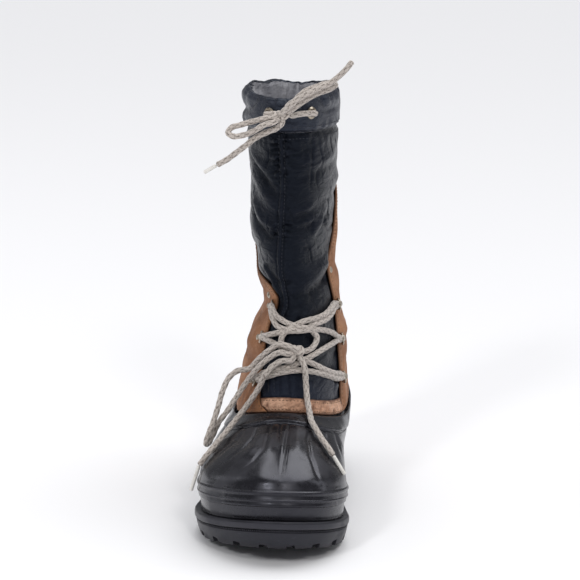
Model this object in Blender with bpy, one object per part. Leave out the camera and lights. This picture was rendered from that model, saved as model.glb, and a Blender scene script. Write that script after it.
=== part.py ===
"""A right pac boot: rubber shell and lugged sole, padded nylon shaft, leather quarter, laces.

Metres, +Z up. The toe points along -Y and the wearer's outer side is -X. The origin is the
middle of the heel's tread, on the floor.
"""

import math

import bmesh
import bpy
import numpy as np
from mathutils import Matrix, Vector

# Sizes of the whole boot
LENGTH = 0.315  # outsole, from heel to toe
BALL_WIDTH = 0.125  # outsole across the ball
HEEL_BACK = 0.058  # from the origin back to the outsole's edge
INSTEP = 0.091  # floor to the shell's top edge, at the instep
HEIGHT = 0.340  # floor to the cuff's rim
SOLE_HEIGHT = 0.032  # outsole at the heel
TOE_SPRING = 0.0155  # how far the toe's tread is off the floor

# Walls, and the room that two pieces leave between them
GAP = 0.0003
SHELL_WALL = 0.003
SHAFT_WALL = 0.005
CUFF_WALL = 0.005
LEATHER = 0.0018
INSOLE = 0.004

# Small forms
LUG_DEPTH = 0.0055
LUG_PITCH = 0.024
LUG_GROOVE = 0.007
NOTCH_LENGTH = 0.016  # how far a lug's groove runs in from the edge
RIDGE = 0.0014  # how far each of the shell's ridges stands out
BINDING_HEIGHT = 0.007  # the strip along the shell's top edge
BINDING = 0.0012
SEAM_RISE = 0.0012
CORD = 0.0048  # lace and drawcord
TIP = 0.0029  # lace tip
EYELET_HOLE = 0.003  # radius
EYELET_FLANGE = 0.0048
RING_WIRE = 0.0022
RING_WIDTH = 0.011
RIVET_RADIUS = 0.0032

COLUMNS = 46

# The last, seen from above. share runs from heel to toe; fullness is how much wider the outline
# is than an ellipse, and swing is how far its middle lies to the inner side, of half the width.
LAST = {
    "share": (0, 0.08, 0.15, 0.20, 0.30, 0.40, 0.50, 0.60, 0.68, 0.74, 0.80, 0.88, 0.94, 1.0),
    "fullness": (1.07, 1.03, 0.92, 0.86, 0.76, 0.73, 0.76, 0.87, 1.01, 1.12, 1.22, 1.31, 1.34, 1.30),
    "swing": (0, 0, 0, -0.01, -0.04, -0.06, -0.08, -0.08, -0.07, -0.05, 0.0, 0.06, 0.11, 0.15),
}

# The sole, along its length: its top edge as a share of SOLE_HEIGHT, its tread's height off the
# floor as a share of TOE_SPRING.
SOLE = {
    "share": (0, 0.05, 0.10, 0.26, 0.31, 0.38, 0.44, 0.66, 0.74, 0.84, 0.93, 1.0),
    "top": (1.0, 0.98, 0.96, 0.88, 0.83, 0.74, 0.68, 0.60, 0.63, 0.78, 0.98, 1.18),
    "tread": (0.22, 0.03, 0.0, 0.0, 0.26, 0.26, 0.0, 0.0, 0.05, 0.28, 0.66, 1.0),
}

# The sole's side, bottom to top: height as a share of its thickness, outset in metres
SOLE_SIDE = {
    "height": (0.0, 0.30, 0.56, 0.60, 0.68, 0.72, 0.93, 1.0),
    "outset": (-0.0040, -0.0022, -0.0012, -0.0022, -0.0022, 0.0, 0.0, -0.0012),
}

# Level sections of the shell and shaft. back and front are shares of LENGTH from the outsole's
# back edge, half is the half width and shift the way to the inner side, both as shares of half
# BALL_WIDTH. foot is 1 where the section has the last's outline and 0 where it is an ellipse.
# The three heights are shares of INSTEP up to 1, and from 1 to 2 run on to the cuff's rim.
# Where hug is 1 they are counted from the sole's top edge and not from the floor.
SECTIONS = {
    "name": ("feather", "rand", "ridge", "low vamp", "vamp", "high vamp", "top edge", "band",
             "instep", "throat", "wrap", "ankle", "calf", "upper calf", "cuff seam", "cuff", "rim"),
    "back": (0.013, 0.010, 0.010, 0.014, 0.018, 0.022, 0.026, 0.030,
             0.036, 0.042, 0.048, 0.050, 0.044, 0.032, 0.022, 0.016, 0.020),
    "front": (0.985, 0.988, 0.976, 0.950, 0.867, 0.762, 0.651, 0.626,
              0.572, 0.524, 0.498, 0.486, 0.476, 0.476, 0.476, 0.480, 0.474),
    "half": (0.936, 0.952, 0.955, 0.948, 0.920, 0.872, 0.785, 0.725,
             0.645, 0.560, 0.452, 0.474, 0.540, 0.548, 0.604, 0.612, 0.590),
    "shift": (0.0, 0.0, 0.0, 0.0, 0.01, 0.04, 0.06, 0.05,
              0.07, 0.10, 0.15, 0.04, 0.01, 0.03, 0.0, 0.0, 0.0),
    "foot": (1.0, 1.0, 1.0, 0.92, 0.68, 0.38, 0.14, 0.08,
             0.03, 0.0, 0.0, 0.0, 0.0, 0.0, 0.0, 0.0, 0.0),
    "z_back": (0.0, 0.12, 0.21, 0.31, 0.58, 0.82, 1.016, 1.060,
               1.136, 1.229, 1.297, 1.390, 1.526, 1.679, 1.839, 1.905, 1.968),
    "z_side": (0.0, 0.12, 0.21, 0.33, 0.47, 0.61, 0.78, 0.900,
               1.060, 1.180, 1.280, 1.398, 1.542, 1.695, 1.863, 1.932, 2.000),
    "z_front": (0.0, 0.12, 0.21, 0.385, 0.689, 0.868, 1.0, 1.036,
                1.136, 1.245, 1.325, 1.426, 1.558, 1.711, 1.880, 1.944, 1.992),
    "hug": (1.0, 1.0, 1.0, 1.0, 0.60, 0.30, 0.0, 0.0, 0.0, 0.0, 0.0, 0.0, 0.0, 0.0, 0.0, 0.0, 0.0),
}
LEVEL = {name: float(i) for i, name in enumerate(SECTIONS["name"])}

# How far the front seam lies to the outer side, in degrees round each section
SEAM = {
    "level": (0, 5, 6, 7, 8, 9, 10, 11, 12, 13, 14, 16),
    "lean": (0, 0, 0, 12, 17, 18, 17, 11, 6, 6, 4, 3),
}
SEAM_REACH = 0.55  # radians to each side that lean with the seam

# The leather quarter's top edge: degrees from the back, to the inner side above 0 and to the
# outer side below, and its height as a share of the way from INSTEP to HEIGHT
QUARTER_TOP = {
    "degrees": (-165, -150, -130, -104, -88, -70, -45, 0, 40, 75, 92, 105, 112),
    "height": (0.335, 0.365, 0.38, 0.39, 0.42, 0.55, 0.66, 0.68, 0.67, 0.62, 0.50, 0.44, 0.42),
}


def smooth(table, column, at):
    """Reads a table's column at any place along its first column, on a smooth curve."""
    places = np.array(table[next(iter(table))], float)
    values = np.array(table[column], float)
    slopes = np.gradient(values, places)
    at = np.clip(np.asarray(at, float), places[0], places[-1])
    i = np.clip(np.searchsorted(places, at, side="right") - 1, 0, len(places) - 2)
    step = places[i + 1] - places[i]
    t = (at - places[i]) / step
    low = values[i] * (1 + 2 * t) * (1 - t) ** 2 + slopes[i] * step * t * (1 - t) ** 2
    high = values[i + 1] * t * t * (3 - 2 * t) + slopes[i + 1] * step * t * t * (t - 1)
    return low + high


def linear(table, column, at):
    """Reads a table's column on straight lines, for edges that stay crisp."""
    return np.interp(at, table[next(iter(table))], table[column])


def share_of(y):
    """How far along the outsole a place is, from 0 at the heel to 1 at the toe."""
    return (HEEL_BACK - y) / LENGTH


def sole_top(y):
    return SOLE_HEIGHT * smooth(SOLE, "top", share_of(y))


def tread(y):
    """The tread's height off the floor."""
    return TOE_SPRING * linear(SOLE, "tread", share_of(y))


def height(share):
    return INSTEP * np.minimum(share, 1) + (HEIGHT - INSTEP) * np.maximum(share - 1, 0)


def outline(angle, foot):
    """A section's share from back to front, and its place across in half widths."""
    share = (1 - np.cos(angle)) / 2
    full = 1 + foot * (smooth(LAST, "fullness", share) - 1)
    return share, np.sin(angle) * full + foot * smooth(LAST, "swing", share)


# The sections with their lengths in metres, which surface() reads between
SIZES = {
    "level": tuple(range(len(SECTIONS["name"]))),
    "back": [HEEL_BACK - LENGTH * x for x in SECTIONS["back"]],
    "front": [HEEL_BACK - LENGTH * x for x in SECTIONS["front"]],
    "half": [BALL_WIDTH / 2 * x for x in SECTIONS["half"]],
    "shift": [BALL_WIDTH / 2 * x for x in SECTIONS["shift"]],
    "foot": SECTIONS["foot"],
    "z_back": [float(height(x)) for x in SECTIONS["z_back"]],
    "z_side": [float(height(x)) for x in SECTIONS["z_side"]],
    "z_front": [float(height(x)) for x in SECTIONS["z_front"]],
    "hug": SECTIONS["hug"],
}


def surface(level, angle):
    """A point on the boot's outer face. angle is 0 at the back and runs round the inner side."""
    level, angle = np.broadcast_arrays(np.asarray(level, float), np.asarray(angle, float))
    size = {column: smooth(SIZES, column, level) for column in SIZES if column != "level"}
    share, across = outline(angle, size["foot"])
    x = size["shift"] + size["half"] * across
    y = size["back"] + (size["front"] - size["back"]) * share
    z = (
        size["z_back"] * (1 - share) * (1 - 2 * share)
        + size["z_side"] * 4 * share * (1 - share)
        + size["z_front"] * share * (2 * share - 1)
    )
    return np.stack([x, y, z + size["hug"] * sole_top(y)], axis=-1)


def outward(level, angle):
    """The outer face's unit normal."""
    top = len(SIZES["level"]) - 1
    low, high = np.maximum(level - 0.02, 0), np.minimum(level + 0.02, top)
    up = surface(high, angle) - surface(low, angle)
    round_it = surface(level, angle + 0.01) - surface(level, angle - 0.01)
    normal = np.cross(up, round_it)
    return normal / np.linalg.norm(normal, axis=-1, keepdims=True)


def skin(level, angle, out):
    """A point that lies out from the outer face by a distance, inside it where that is negative."""
    level, angle = np.broadcast_arrays(np.asarray(level, float), np.asarray(angle, float))
    return surface(level, angle) + outward(level, angle) * np.asarray(out)[..., None]


def leaning(level, angle):
    """Turns the front of a section with the seam, so that the same column follows it."""
    lean = np.radians(smooth(SEAM, "lean", level))
    off = angle % (2 * math.pi) - math.pi
    return angle + lean * np.exp(-((off / SEAM_REACH) ** 2))


def level_at(height_wanted, angle, low, high):
    """The level between low and high where a column reaches a height."""
    levels = np.linspace(low, high, 120)
    return float(np.interp(height_wanted, surface(levels, angle)[:, 2], levels))


def paint(obj, colour, roughness, metallic=0.0):
    material = bpy.data.materials.get(obj.name) or bpy.data.materials.new(obj.name)
    material.use_nodes = True
    shader = material.node_tree.nodes["Principled BSDF"]
    shader.inputs["Base Color"].default_value = (*colour, 1)
    shader.inputs["Roughness"].default_value = roughness
    shader.inputs["Metallic"].default_value = metallic
    material.diffuse_color = (*colour, 1)
    obj.data.materials.append(material)


def finish(name, bm, colour, roughness, metallic=0.0, sharp=40):
    """Closes a bmesh into an object of its own, faces out, shaded smooth."""
    bmesh.ops.recalc_face_normals(bm, faces=bm.faces)
    mesh = bpy.data.meshes.new(name)
    bm.to_mesh(mesh)
    bm.free()
    mesh.shade_smooth()
    mesh.set_sharp_from_angle(angle=math.radians(sharp))
    obj = bpy.data.objects.new(name, mesh)
    bpy.context.scene.collection.objects.link(obj)
    paint(obj, colour, roughness, metallic)
    return obj


def loop_of(bm, points):
    return [bm.verts.new(p) for p in points]


def join_loops(bm, first, second, closed=True):
    """Quads between two rows of vertices of the same count."""
    count = len(first)
    for i in range(count if closed else count - 1):
        j = (i + 1) % count
        bm.faces.new((first[i], first[j], second[j], second[i]))


def tube_wall(outer_rows, inner_rows):
    """A closed wall from rows of points up its outside and up its inside."""
    bm = bmesh.new()
    loops = [loop_of(bm, row) for row in [*outer_rows, *reversed(inner_rows)]]
    for i, loop in enumerate(loops):
        join_loops(bm, loop, loops[(i + 1) % len(loops)])
    return bm


def patch_wall(outer_rows, inner_rows):
    """The same for a wall that stops at its two sides."""
    bm = bmesh.new()
    loops = [loop_of(bm, row) for row in [*outer_rows, *reversed(inner_rows)]]
    for i, loop in enumerate(loops):
        join_loops(bm, loop, loops[(i + 1) % len(loops)], closed=False)
    bm.faces.new([loop[0] for loop in loops])
    bm.faces.new([loop[-1] for loop in reversed(loops)])
    return bm


def columns(count=COLUMNS):
    return np.arange(count) * 2 * math.pi / count


def boolean(obj, cutter, operation="DIFFERENCE"):
    cutter.hide_render = True
    cutter.display_type = "WIRE"
    change = obj.modifiers.new(cutter.name, "BOOLEAN")
    change.operation = operation
    change.object = cutter
    change.solver = "EXACT"
    change.use_self = True  # a cutter's bars may cross each other


def cutter_from(name, bm):
    bmesh.ops.recalc_face_normals(bm, faces=bm.faces)
    mesh = bpy.data.meshes.new(name)
    bm.to_mesh(mesh)
    bm.free()
    obj = bpy.data.objects.new(name, mesh)
    bpy.context.scene.collection.objects.link(obj)
    return obj


def sole_edge(angle, outset):
    """A place on the outsole's edge from above, set out from it by a distance."""
    share, across = outline(angle, 1.0)
    slide = 0.01
    ahead = outline(angle + slide, 1.0)
    behind = outline(angle - slide, 1.0)
    along = np.stack(
        [(ahead[1] - behind[1]) * BALL_WIDTH / 2, -(ahead[0] - behind[0]) * LENGTH], axis=-1
    )
    along = along / np.linalg.norm(along, axis=-1, keepdims=True)
    x = BALL_WIDTH / 2 * across - along[..., 1] * outset
    y = HEEL_BACK - LENGTH * share + along[..., 0] * outset
    return x, y


def sole_row(side, angle):
    """One row round the outsole's side, from the tables of its side and its length."""
    x, y = sole_edge(angle, SOLE_SIDE["outset"][side])
    low, high = tread(y), sole_top(y)
    z = low + (high - low) * SOLE_SIDE["height"][side]
    return np.stack([x, y, z], axis=-1)


def ladder(bm, row, upwards):
    """Closes a row round the sole with cross strips from its inner to its outer side."""
    count = len(row)
    half = count // 2
    for i in range(half):
        left, right = (count - i) % count, i
        left_next, right_next = count - i - 1, i + 1
        corners = [row[right], row[right_next], row[left_next], row[left]]
        faces = list(dict.fromkeys(corners))
        bm.faces.new(faces if upwards else list(reversed(faces)))


def sole_angles(count):
    """Angles round the outsole at even steps along its edge, alike on both sides."""
    fine = np.linspace(0, math.pi, 400)
    share, across = outline(fine, 1.0)
    full = 1 + (smooth(LAST, "fullness", share) - 1)
    half = BALL_WIDTH / 2 * np.sin(fine) * full
    steps = np.hypot(np.diff(half), np.diff(share) * LENGTH)
    along = np.concatenate([[0], np.cumsum(steps)])
    side = np.interp(np.linspace(0, along[-1], count // 2 + 1), along, fine)
    return np.concatenate([side, 2 * math.pi - side[-2:0:-1]]), along[-1]


def groove_box(bm, middle, direction, length, width, depth):
    """A bar that cuts a groove up into the tread."""
    turn = Matrix.Rotation(math.atan2(direction[1], direction[0]), 4, "Z")
    size = Matrix.Diagonal((length, width, depth, 1))
    place = Matrix.Translation(middle) @ turn @ size
    bmesh.ops.create_cube(bm, size=1, matrix=place)


def make_outsole():
    angle, _ = sole_angles(COLUMNS + 6)
    bm = bmesh.new()
    rows = [loop_of(bm, sole_row(side, angle)) for side in range(len(SOLE_SIDE["height"]))]
    for low, high in zip(rows, rows[1:]):
        join_loops(bm, low, high)
    ladder(bm, rows[0], upwards=False)
    ladder(bm, rows[-1], upwards=True)
    sole = finish("outsole", bm, (0.05, 0.05, 0.055), 0.6)

    grooves = bmesh.new()
    _, half_edge = sole_angles(COLUMNS)
    count = 2 * round(half_edge / LUG_PITCH)
    edge, _ = sole_angles(count)
    gaps = (edge + np.roll(edge, -1)) / 2
    gaps[-1] = (edge[-1] + 2 * math.pi) / 2
    tall = 0.02
    for at in gaps:
        (x_out, y_out), (x_in, y_in) = sole_edge(at, 0.004), sole_edge(at, -NOTCH_LENGTH)
        middle = Vector(((x_out + x_in) / 2, (y_out + y_in) / 2, 0))
        middle.z = float(tread(y_in)) + LUG_DEPTH - tall / 2
        groove_box(
            grooves, middle, (x_in - x_out, y_in - y_out), NOTCH_LENGTH + 0.004, LUG_GROOVE, tall
        )
    for share, reach in CENTRE_GROOVES:
        y = HEEL_BACK - LENGTH * share
        middle = Vector((0, y, float(tread(y)) + LUG_DEPTH * 0.7 - tall / 2))
        for side in (-1, 1):
            place = middle + Vector((side * reach * BALL_WIDTH / 4, 0, 0))
            groove_box(
                grooves, place, (1, side * 0.5), reach * BALL_WIDTH / 2 - 0.005, LUG_GROOVE * 0.6,
                tall,
            )
    boolean(sole, cutter_from("tread_cutter", grooves))


# Chevron grooves inside the ring of lugs: share of the length, and reach to each side as a share
# of half the ball's width
CENTRE_GROOVES = (
    (0.085, 0.34), (0.27, 0.40), (0.50, 0.42), (0.56, 0.48), (0.62, 0.54), (0.80, 0.54), (0.86, 0.44),
)


# The shell's rows up its outside, and how far each stands out as a share of RIDGE
SHELL_ROWS = {
    "level": (0, 1.0, 1.12, 1.55, 1.67, 2.0, 2.4, 3.0, 3.5, 4.1, 4.9),
    "out": (-0.6, -0.8, 0.0, 0.0, 0.8, 1.1, 0.5, 0.0, 0.0, 0.0, 0.0),
}


def make_shell():
    angle = columns()
    rows = [skin(level, angle, RIDGE * out) for level, out in zip(*SHELL_ROWS.values())]
    top = LEVEL["top edge"]
    edge_height = surface(top, angle)[:, 2]
    binding = np.array([level_at(z - BINDING_HEIGHT, a, 5.0, top) for z, a in zip(edge_height, angle)])
    rows.append(skin(binding - 0.03, angle, 0.0))
    rows.append(skin(binding, angle, BINDING))
    rows.append(skin(top - 0.05, angle, BINDING))
    rows.append(skin(top, angle, BINDING / 2))
    rows[0][:, 2] = sole_top(rows[0][:, 1]) + GAP
    inside = [skin(level, angle, -SHELL_WALL) for level in (0, 1.5, 3, 4, 5, 5.6, top)]
    inside[0][:, 2] = sole_top(inside[0][:, 1]) + GAP
    finish("rubber_shell", tube_wall(rows, inside), (0.04, 0.04, 0.045), 0.38)


def make_insole():
    angle = columns()
    low = skin(0.35, angle, -SHELL_WALL - 2 * GAP)
    low[:, 2] = sole_top(low[:, 1]) + GAP
    high = low.copy()
    high[:, 2] += INSOLE
    bm = bmesh.new()
    rows = [loop_of(bm, low), loop_of(bm, high)]
    join_loops(bm, *rows)
    ladder(bm, rows[0], upwards=False)
    ladder(bm, rows[1], upwards=True)
    finish("insole", bm, (0.55, 0.53, 0.5), 0.9)


# How far the shaft's face lies inside the smooth form, where it comes up out of the shell
TUCK = {
    "level": (0, LEVEL["top edge"] + 0.06, LEVEL["top edge"] + 0.26, LEVEL["instep"], 16),
    "inside": (1.0, 1.0, 0.8, 0.0, 0.0),
}


TUCK_CLEAR = 2 * GAP


def shaft_face(level):
    return -(SHELL_WALL + TUCK_CLEAR) * linear(TUCK, "inside", level)


# The shaft's rows, which the leather on it follows
SHAFT_ROWS = np.array([5.6, 6.08, 6.26, 6.6, 7.1, 8, 8.6, 9.3, 10, 11, 12, 13, LEVEL["cuff seam"]])
BAND_TOP = 7.1


def on_shaft(level, angle, out):
    """A point out from the flat facets between the shaft's rows, so that leather lies clear."""
    last = len(SHAFT_ROWS) - 2
    i = np.clip(np.searchsorted(SHAFT_ROWS, level, side="right") - 1, 0, last)
    low, high = SHAFT_ROWS[i], SHAFT_ROWS[i + 1]
    below = skin(low, leaning(low, angle), shaft_face(low) + out)
    above = skin(high, leaning(high, angle), shaft_face(high) + out)
    return below + (above - below) * ((level - low) / (high - low))[..., None]


def make_shaft():
    angle = columns()
    seam = np.zeros(COLUMNS)
    seam[COLUMNS // 2] = 1
    rows = []
    for level in SHAFT_ROWS:
        proud = SEAM_RISE * seam * (level > BAND_TOP)
        rows.append(skin(level, leaning(level, angle), shaft_face(level) + proud))
    inside = []
    for level in (5.6, 7.1, 9.3, 11, 12.5, LEVEL["cuff seam"]):
        inside.append(skin(level, leaning(level, angle), shaft_face(level) - SHAFT_WALL))
    finish("shaft", tube_wall(rows, inside), (0.02, 0.025, 0.04), 0.5)


def make_cuff():
    angle = columns()
    low = LEVEL["cuff seam"] + 0.02
    profile = ((low, -0.001), (low + 0.12, 0.0012), (15.0, 0.0018),
               (15.6, 0.0012), (15.9, 0.0), (16, -0.0018))
    rows = [skin(level, leaning(level, angle), out) for level, out in profile]
    inside = [
        skin(level, leaning(level, angle), out)
        for level, out in ((low, -CUFF_WALL), (15, -CUFF_WALL), (15.7, -CUFF_WALL + 0.0006))
    ]
    cuff = finish("cuff", tube_wall(rows, inside), (0.03, 0.035, 0.055), 0.45)
    holes = bmesh.new()
    for name, (middle, out) in eyelet_places().items():
        place = Matrix.Translation(middle) @ out.to_track_quat("Z", "Y").to_matrix().to_4x4()
        bmesh.ops.create_cone(
            holes, cap_ends=True, segments=16, radius1=EYELET_HOLE + GAP,
            radius2=EYELET_HOLE + GAP, depth=0.03, matrix=place,
        )
    boolean(cuff, cutter_from("eyelet_cutter", holes))


# Drawcord eyelets in the cuff: degrees from the front, to the inner side above 0, and level
EYELETS = {"cuff_eyelet_inner": (31, 15.0), "cuff_eyelet_outer": (-17, 15.0)}


def eyelet_places():
    places = {}
    for name, (degrees, level) in EYELETS.items():
        angle = math.pi - math.radians(degrees)
        middle = skin(level, angle, 0.0017)
        places[name] = Vector(middle), Vector(outward(np.float64(level), np.float64(angle)))
    return places


def turned(profile, steps, place):
    """A ring turned about its axis from a closed profile of (radius, height) corners."""
    bm = bmesh.new()
    verts = [bm.verts.new((radius, 0, high)) for radius, high in profile]
    edges = [bm.edges.new((a, b)) for a, b in zip(verts, verts[1:] + verts[:1])]
    bmesh.ops.spin(
        bm, geom=verts + edges, cent=(0, 0, 0), axis=(0, 0, 1), angle=2 * math.pi, steps=steps,
        use_merge=True,
    )
    bmesh.ops.remove_doubles(bm, verts=bm.verts, dist=0.00001)
    bmesh.ops.transform(bm, matrix=place, verts=bm.verts)
    return bm


def standing_on(middle, out):
    return Matrix.Translation(middle) @ out.to_track_quat("Z", "Y").to_matrix().to_4x4()


def make_eyelets():
    for name, (middle, out) in eyelet_places().items():
        inner, outer = EYELET_HOLE - 0.0009, EYELET_HOLE
        profile = (
            (inner, -CUFF_WALL), (outer, -CUFF_WALL), (outer, 0.0008), (EYELET_FLANGE, 0.0008),
            (EYELET_FLANGE, 0.0014), (outer, 0.0021), (inner, 0.0018),
        )
        bm = turned(profile, 12, standing_on(middle, out))
        finish(name, bm, (0.35, 0.34, 0.33), 0.4, 0.9)


# The leather's foot, just above the shell's rim
LEATHER_FOOT = LEVEL["top edge"] + 0.2
LEATHER_GAP = 1.5 * GAP

# The quarter's front edges, as columns of the shaft counted from the back
QUARTER_OUTER, QUARTER_INNER = -21, 14


def leather_wall(angle, top):
    """A leather layer on the shaft, from the shell's rim up to a level for each column."""
    outside, inside = [], []
    for row in [LEATHER_FOOT, *SHAFT_ROWS[SHAFT_ROWS > LEATHER_FOOT]]:
        level = np.minimum(row, top)
        inside.append(on_shaft(level, angle, LEATHER_GAP))
        outside.append(on_shaft(level, angle, LEATHER_GAP + LEATHER))
        if row > top.max():
            break
    bm = patch_wall(outside, inside)
    bmesh.ops.remove_doubles(bm, verts=bm.verts, dist=0.00002)
    return bm


def make_quarter():
    angle = np.arange(QUARTER_OUTER, QUARTER_INNER + 1) * 2 * math.pi / COLUMNS
    tops = INSTEP + (HEIGHT - INSTEP) * smooth(QUARTER_TOP, "height", np.degrees(angle))
    top = np.array([level_at(z, a, LEATHER_FOOT, 15) for z, a in zip(tops, angle)])
    finish("leather_quarter", leather_wall(angle, top), (0.42, 0.24, 0.13), 0.7)


def make_band():
    clear = math.radians(0.8)
    column = 2 * math.pi / COLUMNS
    angle = np.arange(QUARTER_INNER, QUARTER_OUTER + COLUMNS + 1) * column
    angle[0] += clear
    angle[-1] -= clear
    finish("leather_band", leather_wall(angle, np.full(len(angle), BAND_TOP)), (0.45, 0.27, 0.15), 0.8)


# The lace rings, riveted near each front edge of the quarter, and their heights as shares of the
# way from INSTEP to HEIGHT
RINGS = {
    "row": ("low", "middle", "top"),
    "outer": (0.086, 0.213, 0.306),
    "inner": (0.035, 0.157, 0.269),
}
RING_SIDES = {"outer": (QUARTER_OUTER, -1), "inner": (QUARTER_INNER, 1)}
RING_INSET = 0.0060  # from the leather's front edge back to the rivet
RING_LIFT = 0.0006
RING_REACH = 0.0078  # from the rivet to the end of the ring's bow
RIVET_RISE = 0.0016


def on_leather(side, height_share, inset=RING_INSET):
    """A rivet's place on the quarter, its outward direction, and the way on to the throat."""
    column, way = RING_SIDES[side]
    angle = column * 2 * math.pi / COLUMNS
    level = level_at(INSTEP + (HEIGHT - INSTEP) * height_share, np.float64(angle), 6.3, 13)
    lift = LEATHER_GAP + LEATHER
    edge = Vector(on_shaft(np.float64(level), np.float64(angle), lift))
    back = Vector(on_shaft(np.float64(level), np.float64(angle - way * 0.05), lift))
    angle -= way * 0.05 * inset / (back - edge).length
    middle = Vector(on_shaft(np.float64(level), np.float64(angle), lift))
    beside = Vector(on_shaft(np.float64(level), np.float64(angle + way * 0.02), lift))
    leaned = leaning(level, np.float64(angle))
    out = Vector(outward(np.float64(level), leaned))
    along = beside - middle
    along = (along - out * along.dot(out)).normalized()
    return middle, out, along


def rivet_mesh(middle, out, radius, rise):
    bm = bmesh.new()
    base = standing_on(middle + out * (GAP + rise / 2), out)
    bmesh.ops.create_cone(
        bm, cap_ends=True, segments=10, radius1=radius, radius2=radius * 0.72, depth=rise,
        matrix=base,
    )
    return bm


def ring_path():
    """The D ring's wire in its own plane: a straight side at the rivet and a bow to +X."""
    half = RING_WIDTH / 2 - RING_WIRE / 2
    bow = RING_REACH - RING_WIRE / 2
    turns = [math.radians(x) for x in range(-90, 91, 30)]
    return [(bow * math.cos(a), -half * math.sin(a)) for a in turns] + [(0.0, 0.0)]


def make_lace_rings():
    for side in RING_SIDES:
        for row, height_share in zip(RINGS["row"], RINGS[side]):
            middle, out, along = on_leather(side, height_share)
            across = out.cross(along)
            place = Matrix((along, across, out)).transposed().to_4x4()
            place.translation = middle + out * (RING_LIFT + RING_WIRE / 2)
            wire = bpy.data.curves.new("wire", "CURVE")
            wire.dimensions = "3D"
            wire.bevel_depth = RING_WIRE / 2
            wire.bevel_resolution = 1
            spline = wire.splines.new("POLY")
            path = ring_path()
            spline.points.add(len(path) - 1)
            for point, (x, y) in zip(spline.points, path):
                point.co = (*(place @ Vector((x, y, 0))), 1)
            spline.use_cyclic_u = True
            holder = bpy.data.objects.new("wire", wire)
            mesh = bpy.data.meshes.new_from_object(holder)
            bpy.data.objects.remove(holder)
            bm = bmesh.new()
            bm.from_mesh(mesh)
            ring = finish(f"lace_ring_{side}_{row}", bm, (0.30, 0.29, 0.28), 0.4, 0.9)
            head = rivet_mesh(middle, out, RIVET_RADIUS, RING_WIRE + RIVET_RISE)
            boolean(ring, cutter_from(f"rivet_{side}_{row}", head), "UNION")


# Rivets near the quarter's two top front corners: side, height share, and how far from the edge
QUARTER_RIVETS = {
    "quarter_rivet_inner": ("inner", 0.385, 0.006),
    "quarter_rivet_outer": ("outer", 0.342, 0.013),
}


def make_rivets():
    for name, place in QUARTER_RIVETS.items():
        middle, out, _ = on_leather(*place)
        head = rivet_mesh(middle, out, RIVET_RADIUS * 0.8, RIVET_RISE)
        finish(name, head, (0.45, 0.43, 0.40), 0.4, 0.9)


# The boot that the cords' routes are chosen on
ROUTE_SIZES = {"ball_width": 0.125, "length": 0.315, "heel_back": 0.058, "height": 0.340}


def fitted(point):
    """A place in metres from one in millimetres on a boot of ROUTE_SIZES."""
    x, y, z = (value / 1000 for value in point)
    return np.array([
        x * BALL_WIDTH / ROUTE_SIZES["ball_width"],
        HEEL_BACK - (ROUTE_SIZES["heel_back"] - y) * LENGTH / ROUTE_SIZES["length"],
        z * HEIGHT / ROUTE_SIZES["height"],
    ])


def cord_points(route, step):
    """Even points on a smooth curve through a route."""
    route = np.array([fitted(point) for point in route])
    gaps = np.linalg.norm(np.diff(route, axis=0), axis=1)
    places = np.concatenate([[0], np.cumsum(gaps)])
    fine = np.linspace(0, places[-1], 40 * len(route))
    slopes = np.gradient(route, places, axis=0)
    i = np.clip(np.searchsorted(places, fine, side="right") - 1, 0, len(places) - 2)
    span = (places[i + 1] - places[i])[:, None]
    t = ((fine - places[i]) / span[:, 0])[:, None]
    line = (
        route[i] * (1 + 2 * t) * (1 - t) ** 2 + slopes[i] * span * t * (1 - t) ** 2
        + route[i + 1] * t * t * (3 - 2 * t) + slopes[i + 1] * span * t * t * (t - 1)
    )
    along = np.concatenate([[0], np.cumsum(np.linalg.norm(np.diff(line, axis=0), axis=1))])
    count = max(3, round(along[-1] / step) + 1)
    at = np.linspace(0, along[-1], count)
    return np.stack([np.interp(at, along, line[:, k]) for k in range(3)], axis=1)


def cord_curve(name, route, step, diameter=CORD):
    curve = bpy.data.curves.new(name, "CURVE")
    curve.dimensions = "3D"
    curve.bevel_depth = diameter / 2
    curve.bevel_resolution = 2
    curve.use_fill_caps = True
    points = cord_points(route, step)
    spline = curve.splines.new("POLY")
    spline.points.add(len(points) - 1)
    for point, place in zip(spline.points, points):
        point.co = (*place, 1)
    return bpy.data.objects.new(name, curve)


def make_cord(name, route, colour=(0.52, 0.48, 0.45)):
    cord = cord_curve(name, route, 2.7 * CORD)
    bpy.context.scene.collection.objects.link(cord)
    paint(cord, colour, 0.9)


def make_crossings(name, routes):
    """The lace's strands over the throat, joined into one body."""
    bodies = []
    for route in routes.values():
        strand = cord_curve(name, route, 2.6 * CORD)
        bm = bmesh.new()
        bm.from_mesh(bpy.data.meshes.new_from_object(strand))
        bmesh.ops.remove_doubles(bm, verts=bm.verts, dist=0.00001)
        bpy.data.objects.remove(strand)
        bodies.append(bm)
    joined = finish(name, bodies[0], (0.52, 0.48, 0.45), 0.9)
    for strand, bm in zip(list(routes)[1:], bodies[1:]):
        boolean(joined, cutter_from(strand, bm), "UNION")


def make_tip(name, start, end, diameter=TIP):
    """A lace tip from the cord's end to its own end, both given in millimetres."""
    start, end = Vector(fitted(start)), Vector(fitted(end))
    way = (end - start).normalized()
    start = start + way * 2.8 * GAP
    place = standing_on((start + end) / 2, way)
    bm = bmesh.new()
    bmesh.ops.create_cone(
        bm, cap_ends=True, segments=10, radius1=diameter / 2, radius2=diameter * 0.42,
        depth=(end - start).length, matrix=place,
    )
    finish(name, bm, (0.7, 0.69, 0.66), 0.5)


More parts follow.
